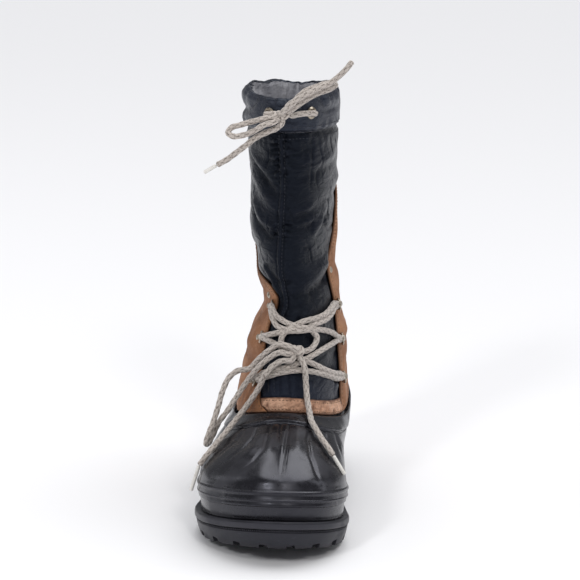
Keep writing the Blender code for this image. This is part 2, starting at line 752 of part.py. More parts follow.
def make_knot(name, middle, size, turn):
    """A pulled knot's outer form: a ball drawn out along one way."""
    bm = bmesh.new()
    place = (
        Matrix.Translation(fitted(middle)) @ Matrix.Rotation(math.radians(turn), 4, "Y")
        @ Matrix.Diagonal((*(x / 1000 for x in size), 1))
    )
    bmesh.ops.create_icosphere(bm, subdivisions=2, radius=1, matrix=place)
    finish(name, bm, (0.52, 0.48, 0.45), 0.9)


# Routes of the lace and the drawcord, in millimetres, chosen point by point on a boot of
# ROUTE_SIZES. The lace's strands over the throat touch where they cross.
STRANDS = {
    "low_bar": (
        (45, -75.5, 101.5), (43.5, -82, 103), (36, -101.5, 111), (25.5, -116.5, 118),
        (14, -126, 121.5), (-1.5, -129, 119.5), (-14, -126, 114.5),
    ),
    "rising_strand": (
        (-15.5, -122.5, 117), (-5, -127, 122), (9, -125.5, 125), (21, -115.5, 129),
        (32.5, -96.5, 132), (39.5, -76, 132), (42, -64, 131),
    ),
    "falling_strand": (
        (45, -74, 105), (43, -81, 107), (37, -97.5, 113.5), (23.5, -116, 125.5),
        (11, -121, 132.5), (0, -118.5, 138.5), (-10.5, -111, 141.5),
    ),
    "middle_bar": (
        (-11.5, -108.5, 146), (-3, -112, 149), (6, -112, 150.5), (15.5, -109.5, 150.5),
        (23, -103, 150), (33, -87.5, 145.5), (39, -73.5, 139.5), (42, -63.5, 134),
    ),
    "upper_turn_outer": (
        (-9.5, -99.5, 167), (-7, -102.5, 162.5), (-1.5, -107, 159), (5.5, -109.5, 156),
        (14.5, -109, 153.5), (23.5, -103.5, 151),
    ),
    "lower_turn_outer": (
        (-10, -100.5, 162.5), (-8, -104, 157.5), (-3, -109.5, 153), (3.5, -112, 152),
        (11.5, -111.5, 151), (18.5, -106.5, 150.5),
    ),
    "upper_turn_inner": (
        (38.5, -57, 161), (37, -65.5, 160), (33.5, -80, 158), (26.5, -94.5, 157.5),
        (17.5, -105.5, 157.5), (9.5, -109.5, 154.5), (4, -112.5, 151), (0.5, -114, 147),
        (-0.5, -116.5, 142), (2, -119, 137.5), (7, -121, 134),
    ),
    "lower_turn_inner": (
        (39, -57, 157.5), (37.5, -67.5, 155.5), (33.5, -82.5, 153.5), (26.5, -97, 153.5),
        (20.5, -104, 152.5),
    ),
    "tucked_loop": (
        (23, -103, 149.5), (27.5, -100, 142.5), (25.5, -105.5, 137), (20.5, -112.5, 134.5),
        (15.5, -117, 135),
    ),
}
LACE_KNOT = {"middle": (13.5, -125, 137.6), "size": (6.0, 4.6, 5.2), "turn": 20}
CORDS = {
    "lace_loop": (
        (7.3, -125.5, 141), (-1.5, -124.5, 142.5), (-8.5, -124.5, 138), (-18, -120, 129),
        (-27, -118, 119.5), (-35.5, -121, 118.5), (-42, -125, 114), (-46.5, -130, 105),
        (-50, -137, 92), (-53.5, -144, 80), (-57, -149.5, 70.5), (-58.5, -149, 64.5),
        (-57.5, -144, 63), (-54.5, -140, 68), (-49.5, -137.5, 79), (-43, -133, 87.5),
        (-36, -127, 98), (-28, -123, 110), (-18, -127, 123.5), (-9, -128.5, 132), (0, -128.5, 137),
        (7.2, -127.5, 135.6),
    ),
    "lace_end_outer": (
        (9.5, -129.5, 131), (2, -130.5, 130.5), (-5, -132, 127), (-11.5, -134.5, 119.5),
        (-18, -131, 106), (-28, -133, 91), (-37.5, -147.5, 80.5), (-47.5, -168.5, 71),
        (-55.5, -176, 62), (-60.6, -177.8, 55),
    ),
    "lace_end_inner": (
        (17, -126.5, 131), (19.5, -128.5, 125.5), (21, -130, 112), (22.5, -136, 101),
        (25.5, -146.5, 92), (29, -162.5, 88.5), (32, -169.5, 86.5), (38, -179, 80.5),
        (44.5, -187.5, 75), (48, -191.5, 71),
    ),
    "drawcord_lead_inner": (
        (24.7, -87.5, 326), (20, -92.5, 326.8), (13.5, -97, 327), (5.9, -99.9, 326.5),
    ),
    "drawcord_lead_outer": ((-14.5, -95.8, 326), (-10.5, -98, 326.8), (-5.7, -99.3, 327)),
    "drawcord_loop_inner": (
        (3, -99.5, 332.6), (9, -99.5, 338), (16, -96, 344.5), (26, -92, 348.5), (35.5, -89, 351),
        (41, -90, 350.3), (37.5, -95, 347.5), (28.5, -98, 344.5), (18.5, -101.5, 339.5),
        (10.5, -104, 334), (6.3, -104.5, 330.9),
    ),
    "drawcord_loop_outer": (
        (-6.1, -104.6, 325.6), (-13, -105, 324.5), (-21.5, -106, 322.5), (-27.5, -107, 321),
        (-34.5, -108, 319), (-41, -109, 317), (-43.5, -111, 313.5), (-40, -113, 311),
        (-32, -112.5, 311.5), (-22.5, -110.5, 315), (-14, -109, 320), (-6.6, -107.4, 322),
    ),
    "drawcord_end_inner": (
        (1, -107, 330.8), (6, -110, 335), (11, -110, 340), (18, -107.5, 344), (28.5, -103.5, 349),
        (38.5, -99.5, 353.5), (45, -96.5, 358.5), (50.5, -95, 364), (55, -94.5, 370),
    ),
    "drawcord_end_outer": (
        (-1, -103, 320.4), (-5, -101.8, 316.2), (-11.5, -103.5, 313.5), (-20.5, -106.5, 309.5),
        (-29.5, -112, 303), (-37.5, -114, 297), (-43.5, -115, 292.5), (-52.5, -116, 287.5),
    ),
}
DRAWCORD_KNOT = {"middle": (-0.2, -101.5, 326.8), "size": (5.6, 4.4, 5.0), "turn": 0}
TIPS = {
    "lace_tip_outer": (CORDS["lace_end_outer"][-1], (-67, -180.5, 34.5)),
    "lace_tip_inner": (CORDS["lace_end_inner"][-1], (57.5, -195, 56.5)),
    "drawcord_tip": (CORDS["drawcord_end_outer"][-1], (-62.5, -117, 281.5)),
}

for old in list(bpy.data.objects):
    bpy.data.objects.remove(old, do_unlink=True)

make_outsole()
make_shell()
make_insole()
make_shaft()
make_cuff()
make_eyelets()
make_quarter()
make_band()
make_lace_rings()
make_rivets()
make_crossings("lace_bars", STRANDS)
make_knot("lace_knot", **LACE_KNOT)
make_knot("drawcord_knot", **DRAWCORD_KNOT)
for cord, cord_route in CORDS.items():
    make_cord(cord, cord_route)
for tip, (tip_start, tip_end) in TIPS.items():
    make_tip(tip, tip_start, tip_end)
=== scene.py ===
# %% [markdown]
# # A pac boot, modelled piece by piece
# A pac boot is a moulded rubber shoe with a tall padded shaft: rubber keeps the foot dry and the
# quilted nylon keeps the leg warm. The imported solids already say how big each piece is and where
# it sits. This lesson models each piece again in fine detail on the same form, and finishes it.

# %% The solids to dress
import math

import bmesh
import bpy
import numpy as np
from mathutils import Matrix, Vector


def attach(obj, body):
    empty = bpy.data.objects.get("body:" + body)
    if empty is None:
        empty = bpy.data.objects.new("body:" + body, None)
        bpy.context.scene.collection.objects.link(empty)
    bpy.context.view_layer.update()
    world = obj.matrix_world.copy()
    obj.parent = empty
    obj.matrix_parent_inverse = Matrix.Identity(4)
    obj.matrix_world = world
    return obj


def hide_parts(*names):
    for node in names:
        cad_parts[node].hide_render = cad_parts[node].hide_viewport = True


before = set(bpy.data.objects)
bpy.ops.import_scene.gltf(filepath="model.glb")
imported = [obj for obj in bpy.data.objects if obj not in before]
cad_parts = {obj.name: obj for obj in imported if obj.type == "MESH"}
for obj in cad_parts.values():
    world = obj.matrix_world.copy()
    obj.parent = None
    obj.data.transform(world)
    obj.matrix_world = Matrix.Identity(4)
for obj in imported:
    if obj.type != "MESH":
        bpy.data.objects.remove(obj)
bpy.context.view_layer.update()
scene = bpy.context.scene
print("solids:", ", ".join(sorted(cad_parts)))

# %% [markdown]
# ## The camera
# A long lens about two metres away looks slightly down on the toe, as a shop would photograph
# boots on a table. The lens is given by its focal length in pixels of a square picture, because
# that is what can be worked out from how the sole's two ends shrink with distance.

# %% The camera
PICTURE = 580  # pixels along each side
FOCAL = 2290  # pixels
camera = bpy.data.objects.new("camera", bpy.data.cameras.new("camera"))
scene.collection.objects.link(camera)
scene.camera = camera
camera.location = (0.1726, -1.9092, 0.625)
camera.data.lens = camera.data.sensor_width * FOCAL / PICTURE
look_at = Vector((0.003, -0.075, 0.176))
camera.rotation_euler = (look_at - camera.location).to_track_quat("-Z", "Y").to_euler()
print("camera:", round(camera.data.lens), "mm lens")

# %% [markdown]
# ## Floor and light
# A boot on white is lit by large soft sources, so that its dark rubber and nylon show broad
# reflections and no hard shadow. A pale world stands for the white room, and a very wide sun for
# its ceiling. Two small softboxes in front give the toe its highlights, and two tall ones farther
# off draw a soft edge on each side. The floor is so wide that its end is never seen.

# %% Floor and light
LIT_SPOT = Vector((0, -0.08, 0.12))  # the middle of the boot


def paint_floor():
    material = bpy.data.materials.new("studio_floor")
    material.use_nodes = True
    shader = material.node_tree.nodes["Principled BSDF"]
    shader.inputs["Base Color"].default_value = (0.885, 0.885, 0.90, 1)
    shader.inputs["Roughness"].default_value = 0.9
    shader.inputs["Specular IOR Level"].default_value = 0.1
    return material


def make_floor(half=300.0, below=0.0002):
    bm = bmesh.new()
    bmesh.ops.create_grid(bm, x_segments=1, y_segments=1, size=half,
                          matrix=Matrix.Translation((0, 0, -below)))
    mesh = bpy.data.meshes.new("floor")
    bm.to_mesh(mesh)
    bm.free()
    floor = bpy.data.objects.new("floor", mesh)
    scene.collection.objects.link(floor)
    mesh.materials.append(paint_floor())


def softbox(name, place, size, watts, colour=(1, 1, 1)):
    """A lit rectangle that looks at the boot."""
    light = bpy.data.objects.new(name, bpy.data.lights.new(name, "AREA"))
    light.data.shape = "RECTANGLE"
    light.data.size, light.data.size_y = size
    light.data.energy = watts
    light.data.color = colour
    light.location = place
    aim = LIT_SPOT - light.location
    light.rotation_euler = aim.to_track_quat("-Z", "Y").to_euler()
    scene.collection.objects.link(light)


def ceiling_light(name, turn, strength, spread):
    """Even light from one side of the sky, as from a bright ceiling; spread is in degrees."""
    light = bpy.data.objects.new(name, bpy.data.lights.new(name, "SUN"))
    light.data.energy = strength
    light.data.angle = math.radians(spread)
    light.rotation_euler = [math.radians(value) for value in turn]
    scene.collection.objects.link(light)


make_floor()
ceiling_light("ceiling", (-18, 8, 0), 2.3, 62)
softbox("front_left", (-0.95, -1.75, 1.65), (0.34, 0.5), 12)
softbox("front_right", (0.75, -1.7, 1.75), (0.34, 0.45), 9, (1.0, 0.98, 0.95))
softbox("far_left", (-1.9, 0.5, 1.0), (0.6, 1.4), 3.5, (0.97, 0.98, 1.0))
softbox("far_right", (1.9, 0.3, 1.0), (0.6, 1.4), 3.5, (0.97, 0.98, 1.0))
world = bpy.data.worlds.new("white_room")
scene.world = world
world.use_nodes = True
world.node_tree.nodes["Background"].inputs["Color"].default_value = (0.95, 0.96, 1.0, 1)
world.node_tree.nodes["Background"].inputs["Strength"].default_value = 0.25
scene.view_settings.view_transform = "Standard"
print(len(bpy.data.lights), "lights over a white floor")

# %% [markdown]
# ## Helpers for finishes
# Each finish is a node tree: a pattern is read in real metres, turned into a colour, a roughness
# or a bump, and plugged into one Principled shader. These short helpers keep the trees readable.

# %% Helpers for finishes
def plug(tree, socket, value):
    """Links another node's output to a socket, or sets the socket to a plain value."""
    if isinstance(value, bpy.types.NodeSocket):
        tree.links.new(value, socket)
    else:
        socket.default_value = value


def add(tree, kind, **settings):
    """A shader node. A setting is a socket's value or link, or else the node's own property."""
    made = tree.nodes.new("ShaderNode" + kind)
    for name in sorted(settings, key=lambda key: key.replace("_", " ") in made.inputs):
        value, socket = settings[name], made.inputs.get(name.replace("_", " "))
        if socket is None:
            setattr(made, name, value)
        else:
            plug(tree, socket, value)
    return made


def mixed(tree, share, first, second):
    """Two colours mixed by a linked share; each colour is three numbers or a link."""
    node = tree.nodes.new("ShaderNodeMix")
    node.data_type = "RGBA"
    plug(tree, node.inputs[0], share)
    for socket, colour in ((node.inputs[6], first), (node.inputs[7], second)):
        plug(tree, socket, colour if isinstance(colour, bpy.types.NodeSocket) else (*colour, 1))
    return node.outputs[2]


def worked_out(tree, operation, *values):
    """A Math node's result from one or two values, which are numbers or links."""
    node = add(tree, "Math", operation=operation)
    for socket, value in zip(node.inputs, values):
        plug(tree, socket, value)
    return node.outputs[0]


def between(tree, value, low, high, to_low=0.0, to_high=1.0):
    """A value's place between low and high, sent to another range."""
    node = add(tree, "MapRange", interpolation_type="SMOOTHSTEP", Value=value, From_Min=low,
               From_Max=high, To_Min=to_low, To_Max=to_high)
    return node.outputs["Result"]


def in_place(tree, stretch=(1, 1, 1)):
    """Places in metres on the boot, stretched along an axis where a pattern has a grain."""
    place = add(tree, "TexCoord").outputs["Object"]
    return add(tree, "Mapping", Vector=place, Scale=stretch).outputs["Vector"]


def on_cloth(tree):
    """Places in metres along a piece's own UV map."""
    return add(tree, "TexCoord").outputs["UV"]


def cloudy(tree, where, per_metre, detail=4.0, rough=0.55):
    return add(tree, "TexNoise", Vector=where, Scale=per_metre, Detail=detail,
               Roughness=rough).outputs["Fac"]


def shade_of(tree):
    """The share that each piece stores for how far a spot lies out of its hollows."""
    return add(tree, "Attribute", attribute_name="shade").outputs["Fac"]


def finish_named(name, roughness, specular=0.5):
    material = bpy.data.materials.new(name)
    material.use_nodes = True
    shader = material.node_tree.nodes["Principled BSDF"]
    shader.inputs["Roughness"].default_value = roughness
    shader.inputs["Specular IOR Level"].default_value = specular
    return material, material.node_tree, shader


def dented(tree, shader, height, distance, strength=1.0):
    """Sends a height to the shader as a bump, in metres."""
    bump = add(tree, "Bump", Height=height, Distance=distance, Strength=strength)
    tree.links.new(bump.outputs["Normal"], shader.inputs["Normal"])


print("helpers for finishes are ready")

# %% [markdown]
# ## The lace's and the drawcord's finish
# The cord is a round braid of pale warm-grey yarn. The braid itself is real relief on the cord's
# mesh, and the material paints shade into the hollows between the yarns and adds the few dark
# flecks of dirt and of a second yarn.

# %% The cord's finish
def cord_finish():
    material, tree, shader = finish_named("braided_cord", 0.88, 0.25)
    # Painted shade: the yarn's colour turns dark in the hollows of the braid's relief.
    painted_hollow_shade = between(tree, shade_of(tree), 0.05, 0.62)
    yarn = mixed(tree, painted_hollow_shade, (0.11, 0.09, 0.078), (0.56, 0.505, 0.46))
    where = in_place(tree)
    fleck = between(tree, cloudy(tree, where, 620.0, 2.0), 0.56, 0.68)
    wear_and_crease_shade = between(tree, cloudy(tree, where, 60.0), 0.35, 0.75, 0.0, 0.35)
    colour = mixed(tree, fleck, yarn, (0.20, 0.165, 0.145))
    colour = mixed(tree, wear_and_crease_shade, colour, (0.30, 0.265, 0.24))
    tree.links.new(colour, shader.inputs["Base Color"])
    shader.inputs["Sheen Weight"].default_value = 0.35
    shader.inputs["Sheen Roughness"].default_value = 0.5
    dented(tree, shader, cloudy(tree, where, 2600.0, 2.0), 0.00025, 0.6)
    return material


CORD_FINISH = cord_finish()
print("finish:", CORD_FINISH.name)

# %% [markdown]
# ## Laying a mesh on a form
# Nearly every piece here is a sheet of quads bent onto a form. Blender makes the flat grid with
# its UV map, and a function then says where each vertex goes. A wall is such a sheet run up its
# outside, over its rim, down its inside and back to where it began, so that it closes. The same
# grid rolled round a line makes a cord.

# %% Laying a mesh on a form
JOIN = 0.000005  # metres, within which two vertices become one


def new_sheet():
    bm = bmesh.new()
    bm.loops.layers.uv.new("UVMap")
    bm.verts.layers.float.new("shade")
    return bm


def laid(bm, columns, rows, place):
    """Adds a grid of quads and moves it onto a form. place turns two shares into points."""
    made = bmesh.ops.create_grid(
        bm, x_segments=columns, y_segments=rows, size=0.5, calc_uvs=True
    )["verts"]
    flat = np.array([vert.co[:2] for vert in made]) + 0.5
    points, shade = place(flat[:, 0], flat[:, 1])
    tone = bm.verts.layers.float["shade"]
    for vert, point, value in zip(made, points, np.broadcast_to(shade, len(made))):
        vert.co = point
        vert[tone] = value
    bmesh.ops.remove_doubles(bm, verts=made, dist=JOIN)


def piece(name, bm, materials, stands_for=(), cloth=None, sharp=None):
    """Makes a bmesh into a finished piece. cloth is its UV map's real width and length."""
    mesh = bpy.data.meshes.new(name)
    bm.to_mesh(mesh)
    bm.free()
    if cloth:
        layer = mesh.uv_layers[0].data
        uv = np.empty(len(layer) * 2)
        layer.foreach_get("uv", uv)
        layer.foreach_set("uv", uv * np.tile(cloth, len(layer)))
    mesh.shade_smooth()
    if sharp:
        mesh.set_sharp_from_angle(angle=math.radians(sharp))
    made = bpy.data.objects.new(name, mesh)
    scene.collection.objects.link(made)
    for material in materials:
        mesh.materials.append(material)
    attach(made, "root")
    if stands_for:
        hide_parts(*stands_for)
    print(f"{name}: {len(mesh.vertices)} vertices")
    return made


def outward_faces(bm):
    bmesh.ops.recalc_face_normals(bm, faces=bm.faces)
    return bm


print("grids can be laid")

# %% [markdown]
# ## Cords along a line
# A free cord is a tube along a smooth curve through points that were chosen on the boot.
# The tube's rings are carried along the curve without twist. The braid is two families of yarn
# that wind opposite ways: where both stand high a diamond bulges out, and between diamonds
# the surface dips.

# %% Cords along a line
def smooth_through(places, values, at):
    """Reads numbers or points at any place on a smooth curve through their own places."""
    slopes = np.gradient(values, places, axis=0)
    i = np.clip(np.searchsorted(places, at, side="right") - 1, 0, len(places) - 2)
    step = places[i + 1] - places[i]
    t = (at - places[i]) / step
    if values.ndim > 1:
        step, t = step[:, None], t[:, None]
    low = values[i] * (1 + 2 * t) * (1 - t) ** 2 + slopes[i] * step * t * (1 - t) ** 2
    high = values[i + 1] * t * t * (3 - 2 * t) + slopes[i + 1] * step * t * t * (t - 1)
    return low + high


CORD = 0.0048  # the lace's and the drawcord's diameter
BRAID_YARNS = 4  # in each family
BRAID_PITCH = 0.0078  # metres along the cord for one turn of a yarn's wave
RING_STEP = 0.0006  # metres from one ring of a cord's mesh to the next
FINE_POINTS = 40  # of the curve for each point of a route


def curve_through(route, step=RING_STEP):
    """Even points in metres on a smooth curve through a route in millimetres."""
    route = np.array(route, float) / 1000
    places = lengths_along(route)
    line = smooth_through(places, route, np.linspace(0, places[-1], FINE_POINTS * len(route)))
    along = lengths_along(line)
    at = np.linspace(0, along[-1], max(3, round(along[-1] / step) + 1))
    return np.stack([np.interp(at, along, line[:, k]) for k in range(3)], axis=1)


def lengths_along(line):
    return np.concatenate([[0], np.cumsum(np.linalg.norm(np.diff(line, axis=0), axis=1))])


def carried_frames(line):
    """Two directions across each point of a line, which don't twist along it."""
    along = np.gradient(line, axis=0)
    along /= np.linalg.norm(along, axis=1, keepdims=True)
    side = np.cross(along[0], (0.31, 0.22, 0.92))
    sides = []
    for way in along:
        side = side - way * side.dot(way)
        side = side / np.linalg.norm(side)
        sides.append(side)
    sides = np.array(sides)
    return sides, np.cross(along, sides)


def add_tube(bm, line, diameter, braided=True, around=20, round_ends=True):
    """Rolls a grid round a line. Its ends close to a point."""
    along = lengths_along(line)
    side, across_side = carried_frames(line)
    radius = diameter / 2
    from_end = np.minimum(along, along[-1] - along)
    reach = radius * (0.8 if round_ends else 0.15)
    closing = np.clip(from_end / reach, 0, 1)
    thick = np.sqrt(np.maximum(1 - (1 - closing) ** 2, 0))

    def place(across, up):
        row = np.rint(up * (len(line) - 1)).astype(int)
        turn = across * 2 * math.pi
        wave = 2 * math.pi * along[row] / BRAID_PITCH
        one_way, other_way = (np.sin((BRAID_YARNS * turn + way * wave) / 2) for way in (1, -1))
        bulge = np.abs(one_way * other_way)
        bulge = np.sqrt(bulge) if braided else np.ones(len(turn))
        out = radius * thick[row] * ((0.86 + 0.17 * bulge) if braided else 1.0)
        way = np.cos(turn)[:, None] * side[row] + np.sin(turn)[:, None] * across_side[row]
        return line[row] + out[:, None] * way, bulge

    laid(bm, around, len(line) - 1, place)


def make_tube(name, line, diameter, slot, material, stands_for, **shape):
    bm = new_sheet()
    add_tube(bm, line, diameter, **shape)
    return piece(name, outward_faces(bm), [material], stands_for)


print("cords can be drawn")

# %% [markdown]
# ## Knots
# A pulled overhand knot is a trefoil: one closed line that crosses itself three times. Rolled
# with the same braid and squeezed to the size of the real knot, it gives the lumps and the
# hollows that a ball can't. The cords that leave the knot start inside it.

# %% Knots
def knot_line(middle, half_size, turn, tilt=20.0):
    """A trefoil of three lobes, squeezed to a half size in millimetres and turned in its place."""
    t = np.linspace(0, 2 * math.pi, 90)
    wide, high = np.sin(t) + 2 * np.sin(2 * t), np.cos(t) - 2 * np.cos(2 * t)
    lobes = np.stack([wide, -np.sin(3 * t) * 2.4, high], axis=1) / 3
    room = np.array(half_size) - CORD * 1000 * 0.42
    turned = Matrix.Rotation(math.radians(turn), 3, "Y") @ Matrix.Rotation(math.radians(tilt), 3, "X")
    return (np.array(middle) + (lobes * room) @ np.array(turned).T) / 1000


LACE_KNOT = {"middle": (13.5, -125, 137.6), "half_size": (6.0, 4.6, 5.2), "turn": 20}
DRAWCORD_KNOT = {"middle": (-0.2, -101.5, 326.8), "half_size": (5.6, 4.4, 5.0), "turn": 0}
lace_knot = make_tube(
    "lace_knot_pulled", knot_line(**LACE_KNOT), CORD, "lace_cord", CORD_FINISH, ["lace_knot"]
)
drawcord_knot = make_tube(
    "drawcord_knot_pulled", knot_line(**DRAWCORD_KNOT), CORD, "lace_cord", CORD_FINISH,
    ["drawcord_knot"],
)

# %% [markdown]
# ## The free lace and the drawcord
# From its knot the lace hangs as one long loop over the outer side and two ends over the toe,
# each with a moulded tip. The drawcord runs out of an eyelet, through its knot and into a loop
# on each side, and ends in one tip and one bare fused end. The points below are in millimetres
# on the boot.

# %% The free lace and the drawcord
LACE_LOOP = (
    (7.3, -125.5, 141), (-1.5, -124.5, 142.5), (-8.5, -124.5, 138), (-18, -120, 129),
    (-27, -118, 119.5), (-35.5, -121, 118.5), (-42, -125, 114), (-46.5, -130, 105),
    (-50, -137, 92), (-53.5, -144, 80), (-57, -149.5, 70.5), (-58.5, -149, 64.5),
    (-57.5, -144, 63), (-54.5, -140, 68), (-49.5, -137.5, 79), (-43, -133, 87.5),
    (-36, -127, 98), (-28, -123, 110), (-18, -127, 123.5), (-9, -128.5, 132), (0, -128.5, 137),
    (7.2, -127.5, 135.6),
)
LACE_END_OUTER = (
    (9.5, -129.5, 131), (2, -130.5, 130.5), (-5, -132, 127), (-11.5, -134.5, 119.5),
    (-18, -131, 106), (-28, -133, 91), (-37.5, -147.5, 80.5), (-47.5, -168.5, 71),
    (-55.5, -176, 62), (-60.6, -177.8, 55),
)
LACE_END_INNER = (
    (17, -126.5, 131), (19.5, -128.5, 125.5), (21, -130, 112), (22.5, -136, 101),
    (25.5, -146.5, 92), (29, -162.5, 88.5), (32, -169.5, 86.5), (38, -179, 80.5),
    (44.5, -187.5, 75), (48, -191.5, 71),
)
IN_EYELET_INNER, IN_EYELET_OUTER = (19.2, -82.3, 325.9), (-10.8, -89.4, 326)  # inside the holes
DRAWCORD_LEAD_INNER = ((24.7, -87.5, 326), (20, -92.5, 326.8), (13.5, -97, 327), (5.9, -99.9, 326.5))
DRAWCORD_LEAD_OUTER = ((-14.5, -95.8, 326), (-10.5, -98, 326.8), (-5.7, -99.3, 327))
DRAWCORD_LOOP_INNER = (
    (3, -99.5, 332.6), (9, -99.5, 338), (16, -96, 344.5), (26, -92, 348.5), (35.5, -89, 351),
    (41, -90, 350.3), (37.5, -95, 347.5), (28.5, -98, 344.5), (18.5, -101.5, 339.5),
    (10.5, -104, 334), (6.3, -104.5, 330.9),
)
DRAWCORD_LOOP_OUTER = (
    (-6.1, -104.6, 325.6), (-13, -105, 324.5), (-21.5, -106, 322.5), (-27.5, -107, 321),
    (-34.5, -108, 319), (-41, -109, 317), (-43.5, -111, 313.5), (-40, -113, 311),
    (-32, -112.5, 311.5), (-22.5, -110.5, 315), (-14, -109, 320), (-6.6, -107.4, 322),
)
DRAWCORD_END_INNER = (
    (1, -107, 330.8), (6, -110, 335), (11, -110, 340), (18, -107.5, 344), (28.5, -103.5, 349),
    (38.5, -99.5, 353.5), (45, -96.5, 358.5), (50.5, -95, 364), (55, -94.5, 370),
)
DRAWCORD_END_OUTER = (
    (-1, -103, 320.4), (-5, -101.8, 316.2), (-11.5, -103.5, 313.5), (-20.5, -106.5, 309.5),
    (-29.5, -112, 303), (-37.5, -114, 297), (-43.5, -115, 292.5), (-52.5, -116, 287.5),
)


INTO_KNOT = 0.55  # of the way from a cord's last point to the middle of its knot


def from_knot(knot, route):
    """A route that starts a little way inside its knot."""
    middle, first = np.array(knot["middle"]), np.array(route[0])
    return (tuple(first + (middle - first) * INTO_KNOT), *route)


def into_knot(knot, route):
    """A route that ends a little way inside its knot."""
    return from_knot(knot, route[::-1])[::-1]


def make_cord(name, route, nodes, diameter=CORD):
    """A free cord, along its own smooth line through a route."""
    line = curve_through(route)
    made = make_tube(name, line, diameter, "lace_cord", CORD_FINISH, nodes)


print("the lace's loop is drawn with", len(LACE_LOOP), "points")

# %% [markdown]
# ## Lace tips
# A lace tip is a plastic sleeve crimped on the cord's end. It is a short smooth tube,
# narrower than the cord and a little glossy. The tips are made before the cords.

# %% Lace tips
def tip_finish():
    material, tree, shader = finish_named("moulded_tip", 0.35)
    stain = between(tree, cloudy(tree, in_place(tree), 300.0), 0.4, 0.8, 0.0, 0.5)
    colour = mixed(tree, stain, (0.80, 0.78, 0.74), (0.55, 0.51, 0.46))
    tree.links.new(colour, shader.inputs["Base Color"])
    return material


TIP_FINISH = tip_finish()
TIP = 0.0031  # diameter


def make_lace_tip(name, route, end, node):
    """A straight tip from the last point of a cord's route to an end."""
    start = np.array(route[-1], float)
    line = curve_through((start, (start * 2 + end) / 3, (start + np.array(end) * 2) / 3, end))
    return make_tube(name, line, TIP, "tip_plastic", TIP_FINISH, [node], braided=False,
                     around=14, round_ends=False)


tip_outer = make_lace_tip("tip_outer", LACE_END_OUTER, (-67, -180.5, 34.5), "lace_tip_outer")
tip_inner = make_lace_tip("tip_inner", LACE_END_INNER, (57.5, -195, 56.5), "lace_tip_inner")
tip_drawcord = make_lace_tip("tip_drawcord", DRAWCORD_END_OUTER, (-62.5, -117, 281.5), "drawcord_tip")

make_cord("lace_loop_outer", into_knot(LACE_KNOT, from_knot(LACE_KNOT, LACE_LOOP)), ["lace_loop"])
make_cord("lace_end_over_toe", from_knot(LACE_KNOT, LACE_END_OUTER), ["lace_end_outer"])
make_cord("lace_end_over_vamp", from_knot(LACE_KNOT, LACE_END_INNER), ["lace_end_inner"])
make_cord(
    "drawcord_inner",
    into_knot(DRAWCORD_KNOT, (IN_EYELET_INNER, *DRAWCORD_LEAD_INNER, *DRAWCORD_LOOP_INNER)),
    ["drawcord_lead_inner", "drawcord_loop_inner"],
)
make_cord(
    "drawcord_outer",
    into_knot(DRAWCORD_KNOT, (IN_EYELET_OUTER, *DRAWCORD_LEAD_OUTER, *DRAWCORD_LOOP_OUTER)),
    ["drawcord_lead_outer", "drawcord_loop_outer"],
)
make_cord("drawcord_end_up", from_knot(DRAWCORD_KNOT, DRAWCORD_END_INNER), ["drawcord_end_inner"])
make_cord("drawcord_end_down", from_knot(DRAWCORD_KNOT, DRAWCORD_END_OUTER), ["drawcord_end_outer"])

# %% [markdown]
# ## The boot's form
# A shoemaker builds on a last. Here the last is a table: seventeen level sections from the
# sole's edge to the rim, each with its back, front, half width and heights as shares of the
# boot's main sizes. A smooth curve runs between the sections, so one function, surface(level,
# angle), gives any point of the outside. The angle is 0 at the back and runs round the inner
# side, so the toe is at half a turn.

# %% The boot's form
LENGTH = 0.315
BALL_WIDTH = 0.125
HEEL_BACK = 0.058
INSTEP = 0.091
HEIGHT = 0.340
SOLE_HEIGHT = 0.032
TOE_SPRING = 0.0155
GAP = 0.0003
SHELL_WALL, LEATHER = 0.003, 0.0018

